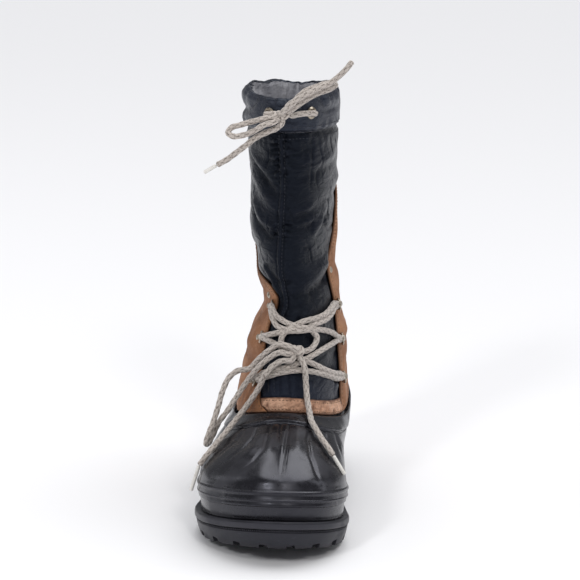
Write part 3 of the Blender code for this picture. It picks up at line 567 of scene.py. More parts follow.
LAST = {
    "share": (0, 0.08, 0.15, 0.20, 0.30, 0.40, 0.50, 0.60, 0.68, 0.74, 0.80, 0.88, 0.94, 1.0),
    "fullness": (1.07, 1.03, 0.92, 0.86, 0.76, 0.73, 0.76, 0.87, 1.01, 1.12, 1.22, 1.31, 1.34, 1.30),
    "swing": (0, 0, 0, -0.01, -0.04, -0.06, -0.08, -0.08, -0.07, -0.05, 0.0, 0.06, 0.11, 0.15),
}
SOLE = {
    "share": (0, 0.05, 0.10, 0.26, 0.31, 0.38, 0.44, 0.66, 0.74, 0.84, 0.93, 1.0),
    "top": (1.0, 0.98, 0.96, 0.88, 0.83, 0.74, 0.68, 0.60, 0.63, 0.78, 0.98, 1.18),
    "tread": (0.22, 0.03, 0.0, 0.0, 0.26, 0.26, 0.0, 0.0, 0.05, 0.28, 0.66, 1.0),
}
SECTIONS = {
    "back": (0.013, 0.010, 0.010, 0.014, 0.018, 0.022, 0.026, 0.030,
             0.036, 0.042, 0.048, 0.050, 0.044, 0.032, 0.022, 0.016, 0.020),
    "front": (0.985, 0.988, 0.976, 0.950, 0.867, 0.762, 0.651, 0.626,
              0.572, 0.524, 0.498, 0.486, 0.476, 0.476, 0.476, 0.480, 0.474),
    "half": (0.936, 0.952, 0.955, 0.948, 0.920, 0.872, 0.785, 0.725,
             0.645, 0.560, 0.452, 0.474, 0.540, 0.548, 0.604, 0.612, 0.590),
    "shift": (0.0, 0.0, 0.0, 0.0, 0.01, 0.04, 0.06, 0.05,
              0.07, 0.10, 0.15, 0.04, 0.01, 0.03, 0.0, 0.0, 0.0),
    "foot": (1.0, 1.0, 1.0, 0.92, 0.68, 0.38, 0.14, 0.08,
             0.03, 0.0, 0.0, 0.0, 0.0, 0.0, 0.0, 0.0, 0.0),
    "z_back": (0.0, 0.12, 0.21, 0.31, 0.58, 0.82, 1.016, 1.060,
               1.136, 1.229, 1.297, 1.390, 1.526, 1.679, 1.839, 1.905, 1.968),
    "z_side": (0.0, 0.12, 0.21, 0.33, 0.47, 0.61, 0.78, 0.900,
               1.060, 1.180, 1.280, 1.398, 1.542, 1.695, 1.863, 1.932, 2.000),
    "z_front": (0.0, 0.12, 0.21, 0.385, 0.689, 0.868, 1.0, 1.036,
                1.136, 1.245, 1.325, 1.426, 1.558, 1.711, 1.880, 1.944, 1.992),
    "hug": (1.0, 1.0, 1.0, 1.0, 0.60, 0.30, 0.0, 0.0, 0.0, 0.0, 0.0, 0.0, 0.0, 0.0, 0.0, 0.0, 0.0),
}
TOP_EDGE, CUFF_SEAM, RIM = 6.0, 14.0, 16.0  # levels
SEAM = {
    "level": (0, 5, 6, 7, 8, 9, 10, 11, 12, 13, 14, 16),
    "lean": (0, 0, 0, 12, 17, 18, 17, 11, 6, 6, 4, 3),
}
SEAM_REACH = 0.55


def smooth(table, column, at):
    """Reads a table's column at any place along its first column, on a smooth curve."""
    places = np.array(table[next(iter(table))], float)
    at = np.clip(np.asarray(at, float), places[0], places[-1])
    return smooth_through(places, np.array(table[column], float), at)


def sole_top(y):
    return SOLE_HEIGHT * smooth(SOLE, "top", (HEEL_BACK - y) / LENGTH)


def tread(y):
    return TOE_SPRING * np.interp((HEEL_BACK - y) / LENGTH, SOLE["share"], SOLE["tread"])


def height(share):
    return INSTEP * np.minimum(share, 1) + (HEIGHT - INSTEP) * np.maximum(share - 1, 0)


SIZES = {
    "level": np.arange(17.0),
    "back": [HEEL_BACK - LENGTH * x for x in SECTIONS["back"]],
    "front": [HEEL_BACK - LENGTH * x for x in SECTIONS["front"]],
    "half": [BALL_WIDTH / 2 * x for x in SECTIONS["half"]],
    "shift": [BALL_WIDTH / 2 * x for x in SECTIONS["shift"]],
    "foot": SECTIONS["foot"],
    "z_back": [float(height(x)) for x in SECTIONS["z_back"]],
    "z_side": [float(height(x)) for x in SECTIONS["z_side"]],
    "z_front": [float(height(x)) for x in SECTIONS["z_front"]],
    "hug": SECTIONS["hug"],
}


def outline(angle, foot):
    share = (1 - np.cos(angle)) / 2
    full = 1 + foot * (smooth(LAST, "fullness", share) - 1)
    return share, np.sin(angle) * full + foot * smooth(LAST, "swing", share)


def surface(level, angle):
    level, angle = np.broadcast_arrays(np.asarray(level, float), np.asarray(angle, float))
    size = {column: smooth(SIZES, column, level) for column in SIZES if column != "level"}
    share, across = outline(angle, size["foot"])
    x = size["shift"] + size["half"] * across
    y = size["back"] + (size["front"] - size["back"]) * share
    z = (
        size["z_back"] * (1 - share) * (1 - 2 * share)
        + size["z_side"] * 4 * share * (1 - share)
        + size["z_front"] * share * (2 * share - 1)
    )
    return np.stack([x, y, z + size["hug"] * sole_top(y)], axis=-1)


def outward(level, angle):
    low, high = np.maximum(level - 0.02, 0), np.minimum(level + 0.02, RIM)
    up = surface(high, angle) - surface(low, angle)
    round_it = surface(level, angle + 0.01) - surface(level, angle - 0.01)
    normal = np.cross(up, round_it)
    return normal / np.linalg.norm(normal, axis=-1, keepdims=True)


def skin(level, angle, out):
    """A point that lies out from the form by a distance, or inside it where that is negative."""
    level, angle = np.broadcast_arrays(np.asarray(level, float), np.asarray(angle, float))
    return surface(level, angle) + outward(level, angle) * np.asarray(out)[..., None]


def leaning(level, angle):
    """Turns the front of a section with the seam, which leans to the outer side at the ankle."""
    lean = np.radians(smooth(SEAM, "lean", level))
    off = angle % (2 * math.pi) - math.pi
    return angle + lean * np.exp(-((off / SEAM_REACH) ** 2))


def levels_at(heights, angles, low, high):
    """For each angle, the level between low and high that reaches a height."""
    tries = np.linspace(low, high, 160)
    found = [np.interp(z, surface(tries, a)[:, 2], tries) for z, a in zip(heights, angles)]
    return np.array(found)


print("form:", np.round(surface(TOP_EDGE, math.pi), 3), "is the shell's top edge in front")

# %% [markdown]
# ## Folds, pleats and creases
# Soft and moulded surfaces are drawn by a few lines: each line has a height, which is negative
# for a trough, a width, and two or more spots on the boot. Around the line the surface rises or
# sinks softly, and it fades out at the line's two ends. A spot is given by its degrees from the
# front towards the inner side, and by its level or its height off the floor in millimetres.

# %% Folds, pleats and creases
def spot_at_level(degrees, level):
    return surface(level, math.pi - math.radians(degrees))


def spot_at_height(degrees, millimetres):
    """A spot on the leg, by its height off the floor."""
    angle = math.pi - math.radians(degrees)
    return surface(levels_at([millimetres / 1000], [angle], TOP_EDGE, CUFF_SEAM)[0], angle)


def drawn(folds, spot_at):
    """A table's folds, with their spots turned into lines of points on the form."""
    return [(tall, width, np.array([spot_at(*spot) for spot in spots]))
            for tall, width, spots in folds]


def near(points, line):
    """Each point's distance to a line of spots, and how far along the line it is, 0 to 1."""
    best = np.full(len(points), 1e9)
    share = np.zeros(len(points))
    lengths = np.linalg.norm(np.diff(line, axis=0), axis=1)
    starts = np.concatenate([[0], np.cumsum(lengths)])
    for a, b, start, length in zip(line, line[1:], starts, lengths):
        t = np.clip((points - a) @ (b - a) / length ** 2, 0, 1)
        gap = np.linalg.norm(points - (a + t[:, None] * (b - a)), axis=1)
        closer = gap < best
        best = np.where(closer, gap, best)
        share = np.where(closer, (start + t * length) / starts[-1], share)
    return best, share


def folded(points, folds, ends=0.6, margin=0.02, trough=2):
    """How far each point rises for drawn folds, in metres. A lower trough makes crisper valleys."""
    rise = np.zeros(len(points))
    for tall, width, line in folds:
        gap, share = near(points, line)
        fade = np.sin(math.pi * np.clip(share * (1 - 2 * margin) + margin, 0, 1)) ** ends
        rise += tall / 1000 * fade * np.exp(-((gap * 1000 / width) ** (2 if tall > 0 else trough)))
    return rise


def waves(points, length, seed, ways=5):
    """A slow unevenness from -1 to 1, whose swells are about a length across."""
    draw = np.random.default_rng(seed)
    total = np.zeros(len(points))
    for _ in range(ways):
        way = draw.normal(size=3)
        way /= np.linalg.norm(way)
        stretch, start = draw.uniform(0.7, 1.4), draw.uniform(0, 6.3)
        total += np.sin(points @ way * 2 * math.pi / length / stretch + start)
    return total / ways * 1.6


def wall_rows(steps):
    """Rows up a wall from steps of (place up it, out in millimetres, rows since the last)."""
    at, out = [steps[0][0]], [steps[0][1]]
    for (from_at, from_out, _), (to_at, to_out, count) in zip(steps, steps[1:]):
        share = np.arange(1, count + 1) / count
        at += list(from_at + (to_at - from_at) * share)
        out += list(from_out + (to_out - from_out) * (1 - np.cos(math.pi * share)) / 2)
    return np.array(at), np.array(out) / 1000


def rows_in(steps):
    return sum(count for _, _, count in steps)


def on_wall(steps, across, up):
    """For shares across and up a wall's grid: the row, the place up it, the outset and the angle."""
    at, out = wall_rows(steps)
    row = np.rint(up * rows_in(steps)).astype(int)
    return row, at[row], out[row], across * 2 * math.pi


def painted_light_and_wear_by_rise(rise, steepness=260, level=0.5):
    """A spot's shade from how far it rises: crests are painted paler and hollows stay dark, as
    painted light and shade, and on rubber partly as wear.
    """
    return np.clip(level + rise * steepness, 0, 1)


print("folds can be drawn")

# %% [markdown]
# ## The finish of the rubber
# Moulded rubber after long wear is a deep grey with a satin surface. Raised edges and crests
# are painted paler, partly as wear and partly as painted highlight, hollows keep the dark base
# colour, and fine scratches run every way. The sole's rubber is the same but duller and more scuffed.

# %% The finish of the rubber
def rubber_finish(name, colour, dust_and_sheen, roughness, specular):
    material, tree, shader = finish_named(name, roughness, specular)
    shader.inputs["Specular Tint"].default_value = (0.86, 0.87, 1.0, 1)
    where = in_place(tree)
    patches = between(tree, cloudy(tree, where, 38.0, 6.0, 0.65), 0.38, 0.72)
    # Painted highlight and wear: where a piece stores a high shade, on ridges and crests, the rubber
    # turns to the paler colour.
    wear_and_highlight = between(tree, shade_of(tree), 0.55, 1.0, 0.0, 0.55)
    scratches = add(tree, "TexNoise", Vector=in_place(tree, (1.0, 0.25, 3.0)), Scale=240.0,
                    Detail=3.0, Distortion=1.5).outputs["Fac"]
    scratched = between(tree, scratches, 0.62, 0.74, 0.0, 0.35)
    tone = mixed(tree, patches, colour, [value * 1.75 for value in colour])
    tone = mixed(tree, wear_and_highlight, tone, dust_and_sheen)
    tone = mixed(tree, scratched, tone, dust_and_sheen)
    tree.links.new(tone, shader.inputs["Base Color"])
    tree.links.new(between(tree, patches, 0, 1, roughness - 0.06, roughness + 0.16),
                   shader.inputs["Roughness"])
    grain = cloudy(tree, where, 1500.0, 3.0)
    dented(tree, shader, grain, 0.00012, 0.25)
    return material


SHELL_FINISH = rubber_finish("shell_rubber_worn", (0.0050, 0.0048, 0.0062),
                             (0.032, 0.030, 0.040), roughness=0.27, specular=0.56)
SOLE_FINISH = rubber_finish("sole_rubber_worn", (0.0090, 0.0090, 0.0115),
                            (0.050, 0.049, 0.058), roughness=0.46, specular=0.45)
print("rubber in two finishes")

# %% [markdown]
# ## The rubber shell
# The shell is one moulding: a foot that stands on the sole, a bumper with two rolled ridges round
# the toe, a vamp with shallow pleats that fan out from the throat, and a rolled binding along
# its top edge. Going up the outside, p is the level up to 3, then the share of the vamp up
# to the binding, then the share of the binding, and past 5 it comes down the inside.

# %% The rubber shell
SHELL_STEPS = (
    (0, -0.84, 0), (0.15, -1.1, 3), (1.0, -1.1, 9), (1.12, 0.0, 4), (1.55, 0.0, 7),
    (1.63, 0.9, 3), (1.72, 1.1, 3), (1.82, 0.7, 3), (2.1, 0.8, 6), (2.2, 1.7, 4), (2.28, 1.7, 2),
    (2.37, 0.5, 4), (2.6, 0.1, 6), (3.0, 0.0, 8), (3.95, 0.0, 78), (3.98, -0.9, 2),
    (4.0, -0.9, 1), (4.03, 1.3, 3), (4.12, 1.4, 3), (4.5, 1.3, 4), (4.86, 1.5, 4), (4.97, 0.9, 3),
    (5.0, 0.2, 2), (5.03, -1.5, 2), (5.08, -2.6, 2), (5.2, -3.0, 3), (8.0, -3.0, 20), (8.0, -0.84, 2),
)
BINDING_HEIGHT, FRONT_BINDING = 0.0070, 0.0026  # at the sides, and where the vamp lies flatter
# Each pleat: height in mm, width in mm, and spots as degrees from the front and levels
PLEATS = (
    (-1.3, 1.1, ((-2, 5.6), (-1.5, 5.1), (-0.5, 4.6))),
    (-1.4, 1.1, ((6, 5.6), (5, 4.8), (4.5, 4.2), (3, 3.3), (2.7, 2.9))),
    (0.5, 3.0, ((2, 5.5), (2, 4.8), (1.5, 4.2))),
    (-1.3, 1.2, ((-9.5, 5.6), (-9.5, 4.9), (-9.5, 4.24), (-15, 3.7), (-20.5, 3.34))),
    (0.6, 3.5, ((-5.5, 5.4), (-5.5, 4.6), (-6, 4.0))),
    (-1.0, 1.3, ((-20, 5.4), (-20.5, 4.8), (-24, 4.3), (-33, 3.6))),
    (0.7, 4.0, ((-14.5, 5.4), (-15, 4.7), (-18, 4.1), (-25, 3.6))),
    (-0.6, 1.7, ((-29, 5.4), (-33, 4.6), (-41, 3.8))),
    (-0.8, 1.3, ((35.5, 5.5), (35, 5.0), (34.5, 4.6))),
    (-1.0, 1.3, ((22, 5.4), (20, 4.7), (21, 4.0), (24, 3.3), (25.5, 2.66))),
    (0.7, 4.0, ((13, 5.4), (12.5, 4.7), (13, 4.0))),
    (-0.6, 1.8, ((46, 5.4), (47, 4.7), (50, 4.0))),
    (0.5, 4.0, ((28.5, 5.4), (28, 4.7), (29, 4.2))),
    (0.35, 1.0, ((-40, 2.3), (-40.5, 1.2), (-40.5, 0.2))),
    (0.35, 1.0, ((-30, 2.35), (-30, 1.2), (-30, 0.3))),
    (0.30, 1.0, ((38, 2.3), (38, 1.2), (38, 0.3))),
)


PLEAT_LINES = drawn(PLEATS, spot_at_level)
PLEAT_DEPTH = 1.25  # times what the table says
# Each ridge: p, width in p, and how much paler it is painted, partly as wear and partly as painted
# highlight
RIDGES = ((1.7, 0.07, 1.0), (2.24, 0.07, 1.0), (4.85, 0.12, 0.6))  # p, width in p, how rubbed


def shell_place(across, up):
    _, p, out, angle = on_wall(SHELL_STEPS, across, up)
    columns = np.linspace(0, 2 * math.pi, 361)
    edge = surface(TOP_EDGE, columns)[:, 2]
    in_front = np.exp(-(((columns - math.pi) / 0.8) ** 2))
    tall = BINDING_HEIGHT + (FRONT_BINDING - BINDING_HEIGHT) * in_front
    binding = np.interp(angle, columns, levels_at(edge - tall, columns, 5.0, TOP_EDGE))
    level = np.where(p < 3, p, 3 + (binding - 3) * (p - 3))
    level = np.where(p > 4, binding + (TOP_EDGE - binding) * (p - 4), level)
    level = np.where(p > 5, TOP_EDGE * (8 - p) / 3, level)
    points = skin(level, angle, out)
    rise = PLEAT_DEPTH * folded(points, PLEAT_LINES, margin=0.01)
    swell = 0.00035 * waves(points, 0.05, 3) + 0.00012 * waves(points, 0.017, 4)
    calm = np.clip((p - 0.9) / 0.6, 0, 1) * (p < 4.9)
    points = points + outward(level, angle) * ((rise + swell) * calm)[:, None]
    foot = level < 0.001
    points[foot, 2] = sole_top(points[foot, 1]) + GAP
    # The stored shade is painted highlight and wear on the ridges and on the pleats' crests
    ridge = sum(wear_and_highlight * np.exp(-(((p - at) / wide) ** 2)) for at, wide, wear_and_highlight in RIDGES)
    return points, painted_light_and_wear_by_rise(rise, 220, 0.35 + 0.45 * ridge)


bm = new_sheet()
laid(bm, 380, rows_in(SHELL_STEPS), shell_place)
piece("shell_moulded", outward_faces(bm), [SHELL_FINISH], ["rubber_shell"])

# %% [markdown]
# ## The outsole
# The sole is a slab whose side steps in twice: a flange on top, a ribbed groove, and the lugs
# under it. The side is a grid round the outline, and the top and the tread are grids between
# its left and right edges. Bars then cut the lugs, as the mould's ribs do.

# %% The outsole
SOLE_SIDE = (  # share of the sole's height, and outset in millimetres
    (0.0, -4.6), (0.02, -4.1), (0.30, -2.4), (0.50, -1.5), (0.56, -1.3), (0.585, -1.5), (0.60, -2.4),
    (0.68, -2.4), (0.695, -0.9), (0.72, -0.2), (0.76, 0.0), (0.90, 0.0), (0.95, -0.2), (0.98, -0.7),
    (1.0, -1.6),
)
LUG_DEPTH, LUG_PITCH, LUG_GROOVE, NOTCH_LENGTH = 0.0055, 0.024, 0.007, 0.016
LUG_BEVEL = 0.0009
CENTRE_GROOVES = (  # share of the length, and reach to each side as a share of the half width
    (0.085, 0.34), (0.27, 0.40), (0.50, 0.42), (0.56, 0.48), (0.62, 0.54), (0.80, 0.54), (0.86, 0.44),
)


def sole_edge(angle, outset):
    share, across = outline(angle, 1.0)
    ahead, behind = outline(angle + 0.01, 1.0), outline(angle - 0.01, 1.0)
    along = np.stack(
        [(ahead[1] - behind[1]) * BALL_WIDTH / 2, -(ahead[0] - behind[0]) * LENGTH], axis=-1
    )
    along = along / np.linalg.norm(along, axis=-1, keepdims=True)
    x = BALL_WIDTH / 2 * across - along[..., 1] * outset
    return x, HEEL_BACK - LENGTH * share + along[..., 0] * outset


def sole_angles(count):
    """Angles round the outsole at even steps along its edge, alike on both sides."""
    fine = np.linspace(0, math.pi, 400)
    share, _ = outline(fine, 1.0)
    half = BALL_WIDTH / 2 * np.sin(fine) * smooth(LAST, "fullness", share)
    along = np.concatenate([[0], np.cumsum(np.hypot(np.diff(half), np.diff(share) * LENGTH))])
    side = np.interp(np.linspace(0, along[-1], count // 2 + 1), along, fine)
    return np.concatenate([side, 2 * math.pi - side[-2:0:-1]]), along[-1]


SOLE_COLUMNS = 260


def sole_side(row, column):
    """A point of the sole's side, by its row in SOLE_SIDE and its column round the edge."""
    angles, _ = sole_angles(SOLE_COLUMNS)
    share, outset = np.array(SOLE_SIDE)[row].T
    x, y = sole_edge(angles[column % SOLE_COLUMNS], outset / 1000)
    low, high = tread(y), sole_top(y)
    return np.stack([x, y, low + (high - low) * share], axis=-1)


def side_place(across, up):
    row = np.rint(up * (len(SOLE_SIDE) - 1)).astype(int)
    column = np.rint(across * SOLE_COLUMNS).astype(int)
    # Painted highlight and wear: the lugs' outermost row and the flange's face get a higher shade,
    # which the finish paints paler.
    wear_and_highlight = 0.3 + 0.5 * np.isin(row, (4, 9, 10, 11))
    return sole_side(row, column), wear_and_highlight


def cap_place(row_at):
    def place(across, up):
        step = np.rint(up * SOLE_COLUMNS / 2).astype(int)
        row = np.full(len(step), row_at)
        right, left = sole_side(row, step), sole_side(row, SOLE_COLUMNS - step)
        return right + (left - right) * across[:, None], 0.2
    return place


def add_block(bm, place, size, bevel):
    """A box with bevelled edges."""
    made = bmesh.ops.create_cube(bm, size=1, matrix=place @ Matrix.Diagonal((*size, 1)))
    edges = {edge for vert in made["verts"] for edge in vert.link_edges}
    bmesh.ops.bevel(bm, geom=list(edges), offset=bevel, offset_type="OFFSET", segments=2,
                    profile=0.5, affect="EDGES", material=-1)


def cutting_bars():
    """The bars that cut the lugs at the edge and the chevrons inside them."""
    bm = bmesh.new()
    tall = 0.02

    def bar(middle, way, length, width):
        turn = Matrix.Rotation(math.atan2(way[1], way[0]), 4, "Z")
        add_block(bm, Matrix.Translation(middle) @ turn, (length, width, tall), LUG_BEVEL)

    _, half_edge = sole_angles(46)
    edge, _ = sole_angles(2 * round(half_edge / LUG_PITCH))
    gaps = (edge + np.roll(edge, -1)) / 2
    gaps[-1] = (edge[-1] + 2 * math.pi) / 2
    for at in gaps:
        (x_out, y_out), (x_in, y_in) = sole_edge(at, 0.004), sole_edge(at, -NOTCH_LENGTH)
        deep = float(tread(y_in)) + LUG_DEPTH - tall / 2
        bar(((x_out + x_in) / 2, (y_out + y_in) / 2, deep), (x_in - x_out, y_in - y_out),
            NOTCH_LENGTH + 0.004, LUG_GROOVE)
    for share, reach in CENTRE_GROOVES:
        y = HEEL_BACK - LENGTH * share
        for side in (-1, 1):
            middle = (side * reach * BALL_WIDTH / 4, y, float(tread(y)) + LUG_DEPTH * 0.7 - tall / 2)
            bar(middle, (1, side * 0.5), reach * BALL_WIDTH / 2 - 0.005, LUG_GROOVE * 0.6)
    return bm


def cut_away(made, cutters, name, crossing=False):
    """Cuts a bmesh's shapes out of a piece for good. crossing says that the shapes overlap."""
    mesh = bpy.data.meshes.new(name)
    cutters.to_mesh(mesh)
    cutters.free()
    cutter = bpy.data.objects.new(name, mesh)
    scene.collection.objects.link(cutter)
    cut = made.modifiers.new(name, "BOOLEAN")
    cut.object, cut.solver, cut.use_self = cutter, "EXACT", crossing
    ready = made.evaluated_get(bpy.context.evaluated_depsgraph_get())
    result = bpy.data.meshes.new_from_object(ready)
    made.modifiers.clear()
    made.data = result
    bpy.data.objects.remove(cutter)


bm = new_sheet()
laid(bm, SOLE_COLUMNS, len(SOLE_SIDE) - 1, side_place)
for cap_row in (0, len(SOLE_SIDE) - 1):
    laid(bm, 36, SOLE_COLUMNS // 2, cap_place(cap_row))
bmesh.ops.remove_doubles(bm, verts=bm.verts, dist=JOIN)
sole = piece("outsole_moulded", outward_faces(bm), [SOLE_FINISH], ["outsole"],
             sharp=42)
cut_away(sole, outward_faces(cutting_bars()), "lugs", crossing=True)
sole.data.set_sharp_from_angle(angle=math.radians(38))
print("the cut sole has", len(sole.data.vertices), "vertices")

# %% [markdown]
# ## The ribs in the sole's groove
# A fine row of ribs runs in the groove round the sole. Each rib is a tiny block; hundreds of
# them are one joined piece.

# %% The ribs in the sole's groove
bm = new_sheet()
rib_angles, _ = sole_angles(420)
for rib_angle in rib_angles:
    x, y = sole_edge(rib_angle, -0.0019)
    x_out, y_out = sole_edge(rib_angle, 0.0)
    low, high = tread(y), sole_top(y)
    turn = Matrix.Rotation(math.atan2(y_out - y, x_out - x), 4, "Z")
    place = Matrix.Translation((x, y, low + (high - low) * 0.64)) @ turn
    bmesh.ops.create_cube(bm, size=1, matrix=place @ Matrix.Diagonal((0.0016, 0.0008, 0.0013, 1)))
piece("sole_ribs", bm, [SOLE_FINISH], sharp=30)

# %% [markdown]
# ## The finishes of the nylon
# The shaft is tightly woven nylon over padding, near black with a blue cast and a satin gloss.
# Its weave is fine, so it is a bump along the cloth's own UV map. The collar is the same cloth
# in a greyer blue, and the lining is a matt grey knit. Raised folds are painted paler than the
# hollows, as painted light and shade. The low part over the instep is painted paler, partly as
# dust and partly as painted light where it faces up to the ceiling light.

# %% The finishes of the nylon
def cloth_finish(name, colour, dust_and_sheen, roughness, thread, specular=0.4, low_dust_and_light=0.0):
    material, tree, shader = finish_named(name, roughness, specular)
    cloth = add(tree, "SeparateXYZ", Vector=on_cloth(tree))
    turns = (worked_out(tree, "MULTIPLY", cloth.outputs[axis], 2 * math.pi / thread) for axis in "XY")
    warp, weft = (worked_out(tree, "SINE", turn) for turn in turns)
    weave = worked_out(tree, "MULTIPLY", warp, weft)
    where = in_place(tree)
    patches = between(tree, cloudy(tree, where, 28.0, 6.0, 0.6), 0.42, 0.78, 0.0, 0.5)
    # Painted light and shade: raised folds turn to the paler colour, and hollows keep the darker one.
    raised = between(tree, shade_of(tree), 0.5, 1.0, 0.0, 0.45)
    tone = mixed(tree, patches, colour, dust_and_sheen)
    tone = mixed(tree, raised, tone, dust_and_sheen)
    # Painted light, partly dust: the cloth low over the instep turns paler, where it faces up to the
    # ceiling light.
    if low_dust_and_light:
        level = add(tree, "SeparateXYZ", Vector=where).outputs["Z"]
        low = between(tree, level, 0.128, 0.1, 0.0, low_dust_and_light)
        tone = mixed(tree, low, tone, [value * 2.6 for value in dust_and_sheen])
    tree.links.new(tone, shader.inputs["Base Color"])
    crumple = add(tree, "TexNoise", Vector=in_place(tree, (0.7, 0.7, 1.5)), Scale=95.0, Detail=5.0,
                  Roughness=0.55, Distortion=0.9).outputs["Fac"]
    shader.inputs["Specular Tint"].default_value = (0.66, 0.78, 1.0, 1)
    soft = add(tree, "Bump", Height=crumple, Distance=0.0030, Strength=0.75)
    bump = add(tree, "Bump", Height=weave, Distance=0.00008, Strength=0.5,
               Normal=soft.outputs["Normal"])
    tree.links.new(bump.outputs["Normal"], shader.inputs["Normal"])
    return material


NYLON = cloth_finish("shaft_nylon", (0.0026, 0.0033, 0.0058), (0.0065, 0.0078, 0.0135), 0.29, 0.0009,
                     0.16, low_dust_and_light=0.6)
COLLAR = cloth_finish("collar_nylon", (0.009, 0.010, 0.017), (0.025, 0.027, 0.038), 0.34, 0.0009)
LINING = cloth_finish("grey_lining", (0.38, 0.38, 0.41), (0.74, 0.74, 0.76), 0.85, 0.0022, 0.2)
print("three cloths")

# %% [markdown]
# ## Where the leather lies
# Leather covers the heel and the ankle and carries the lace rings on its two front edges, and a
# narrow band of it runs round the front just above the rubber. The nylon under it stays at the
# form, so the places of the leather's edges are needed before the shaft is shaped.

# %% Where the leather lies
COLUMN = 360 / 46  # degrees
QUARTER_OUTER, QUARTER_INNER = -21 * COLUMN, 14 * COLUMN  # front edges, degrees from the back
BAND_TOP = 7.1
LEATHER_FOOT = TOP_EDGE + 0.2
LEATHER_GAP = 1.5 * GAP
QUARTER_TOP = {  # degrees from the back, and the share of the way from INSTEP to HEIGHT
    "degrees": (-165, -150, -130, -104, -88, -70, -45, 0, 40, 75, 92, 105, 112),
    "height": (0.335, 0.365, 0.38, 0.39, 0.42, 0.55, 0.66, 0.68, 0.67, 0.62, 0.50, 0.44, 0.42),
}
TUCK = {
    "level": (0, TOP_EDGE + 0.06, TOP_EDGE + 0.26, 8, 16), "inside": (1.0, 1.0, 0.8, 0.0, 0.0),
}


def shaft_face(level):
    """How far the shaft's face lies inside the form, where it comes up out of the shell."""
    return -(SHELL_WALL + 2 * GAP) * np.interp(level, TUCK["level"], TUCK["inside"])


def quarter_height(degrees):
    return INSTEP + (HEIGHT - INSTEP) * smooth(QUARTER_TOP, "height", degrees)


def under_leather(level, angle, z, margin=1.4):
    """1 under the leather, falling to 0 near its edges, farther in for a smaller margin."""
    degrees = (np.degrees(angle) + 180) % 360 - 180
    past_front = np.maximum(QUARTER_OUTER - degrees, degrees - QUARTER_INNER) * 0.65
    past_top = (z - quarter_height(degrees)) * 1000
    quarter = np.clip(margin - past_front / 2, 0, 1) * np.clip(margin - past_top / 2, 0, 1)
    band = np.clip(margin - 0.2 - (level - BAND_TOP) / 0.06, 0, 1)
    return np.maximum(quarter, band)


print("the quarter's top edge is", round(float(quarter_height(0)) * 1000), "mm up at the back")

# %% [markdown]
# ## The folds of the shaft
# Padded nylon gathers wherever it bends or is sewn. The front seam is a raised strip, and the
# cloth puckers along both its sides. Two diagonal creases cut in from the outer side, one deep
# fold hangs over the ankle, and short wrinkles lie around them. They are placed one by one.

# %% The folds of the shaft
FOLDS = (  # height in mm, width in mm, and spots as degrees from the front and millimetres up
    (-3.0, 2.6, ((-66, 288), (-55, 283), (-33, 270), (-10, 258))),
    (2.0, 5.5, ((-62, 275), (-40, 263), (-16, 250))),
    (1.8, 5.0, ((-60, 293), (-35, 280), (-16, 268))),
    (-2.4, 2.3, ((-62, 245), (-48, 234), (-33, 228), (-16, 221))),
    (2.4, 4.5, ((-60, 255), (-40, 242), (-22, 231))),
    (1.4, 6.0, ((-56, 228), (-36, 217), (-18, 212))),
    (-3.6, 3.4, ((4, 174), (14, 177), (36, 178), (64, 182), (88, 188))),
    (3.4, 7.5, ((0, 186), (18, 187), (40, 190), (68, 195), (90, 200))),
    (1.6, 2.6, ((4, 246), (14, 246), (28, 247), (38, 251))),
    (-1.4, 2.4, ((8, 241), (24, 241), (38, 244))),
    (1.4, 2.4, ((20, 236), (30, 236), (42, 239))),
    (-1.2, 2.2, ((16, 231), (30, 231), (40, 234))),
    (1.8, 2.8, ((-26, 236), (-18, 232), (-6, 229), (3, 230))),
    (-1.5, 2.4, ((-24, 230), (-14, 226), (-4, 225))),
    (1.2, 2.4, ((-16, 248), (-8, 246), (5, 247))),
    (-2.6, 6.0, ((-95, 208), (-60, 203), (-40, 196))),
    (1.7, 3.0, ((-46, 203), (-33, 188), (-24, 170))),
    (-1.6, 3.2, ((-36, 200), (-25, 186), (-19, 172))),
    (1.8, 5.0, ((36, 223), (48, 231), (62, 242))),
    (-1.4, 4.0, ((44, 222), (58, 231), (70, 238))),
    (1.2, 3.5, ((24, 304), (30, 308), (36, 312))),
    (-1.0, 3.0, ((18, 299), (28, 299), (37, 301))),
    (1.3, 5.0, ((24, 285), (50, 285), (82, 287))),
    (-1.0, 4.0, ((22, 277), (44, 276), (80, 279))),
    (1.0, 3.0, ((6, 279), (16, 279), (28, 281))),
    (1.6, 3.2, ((26, 119), (45, 108), (64, 97), (80, 90))),
    (-1.6, 2.8, ((22, 129), (40, 121), (60, 110), (78, 103))),
    (1.4, 3.5, ((16, 138), (34, 133), (54, 124))),
    (1.5, 3.4, ((-32, 120), (-42, 108), (-52, 96))),
    (-1.4, 2.6, ((-28, 122), (-36, 111), (-46, 99))),
    (-1.0, 1.6, ((4, 124), (7, 110), (9, 98))),
    (-1.0, 1.6, ((-8, 122), (-6, 108), (-5, 98))),
    (-2.6, 6.0, ((120, 262), (150, 268), (180, 270), (210, 266))),
    (2.0, 8.0, ((110, 280), (150, 286), (200, 284), (235, 276))),
    (-2.2, 6.5, ((-75, 300), (-100, 296), (-135, 300))),
    (-1.8, 5.0, ((75, 252), (100, 246), (130, 250))),
    (1.6, 6.0, ((80, 266), (105, 260), (132, 262))),
    (-1.6, 5.0, ((-88, 262), (-110, 256), (-140, 262))),
)
FOLD_LINES = drawn(FOLDS, spot_at_height)
FOLD_DEPTH = 1.15  # times what the table says
CRISP = 1.3  # for troughs steeper than a round one, which is 2
PUCKER_PITCH = 0.0046
METRES_PER_TURN = 0.036  # across the front of the shaft, for an angle of 1
SEAM_HALF = 0.0017


def beside_seam(angle):
    """How far a column lies from the front seam, in metres; the seam itself is at half a turn."""
    return (angle % (2 * math.pi) - math.pi) * METRES_PER_TURN


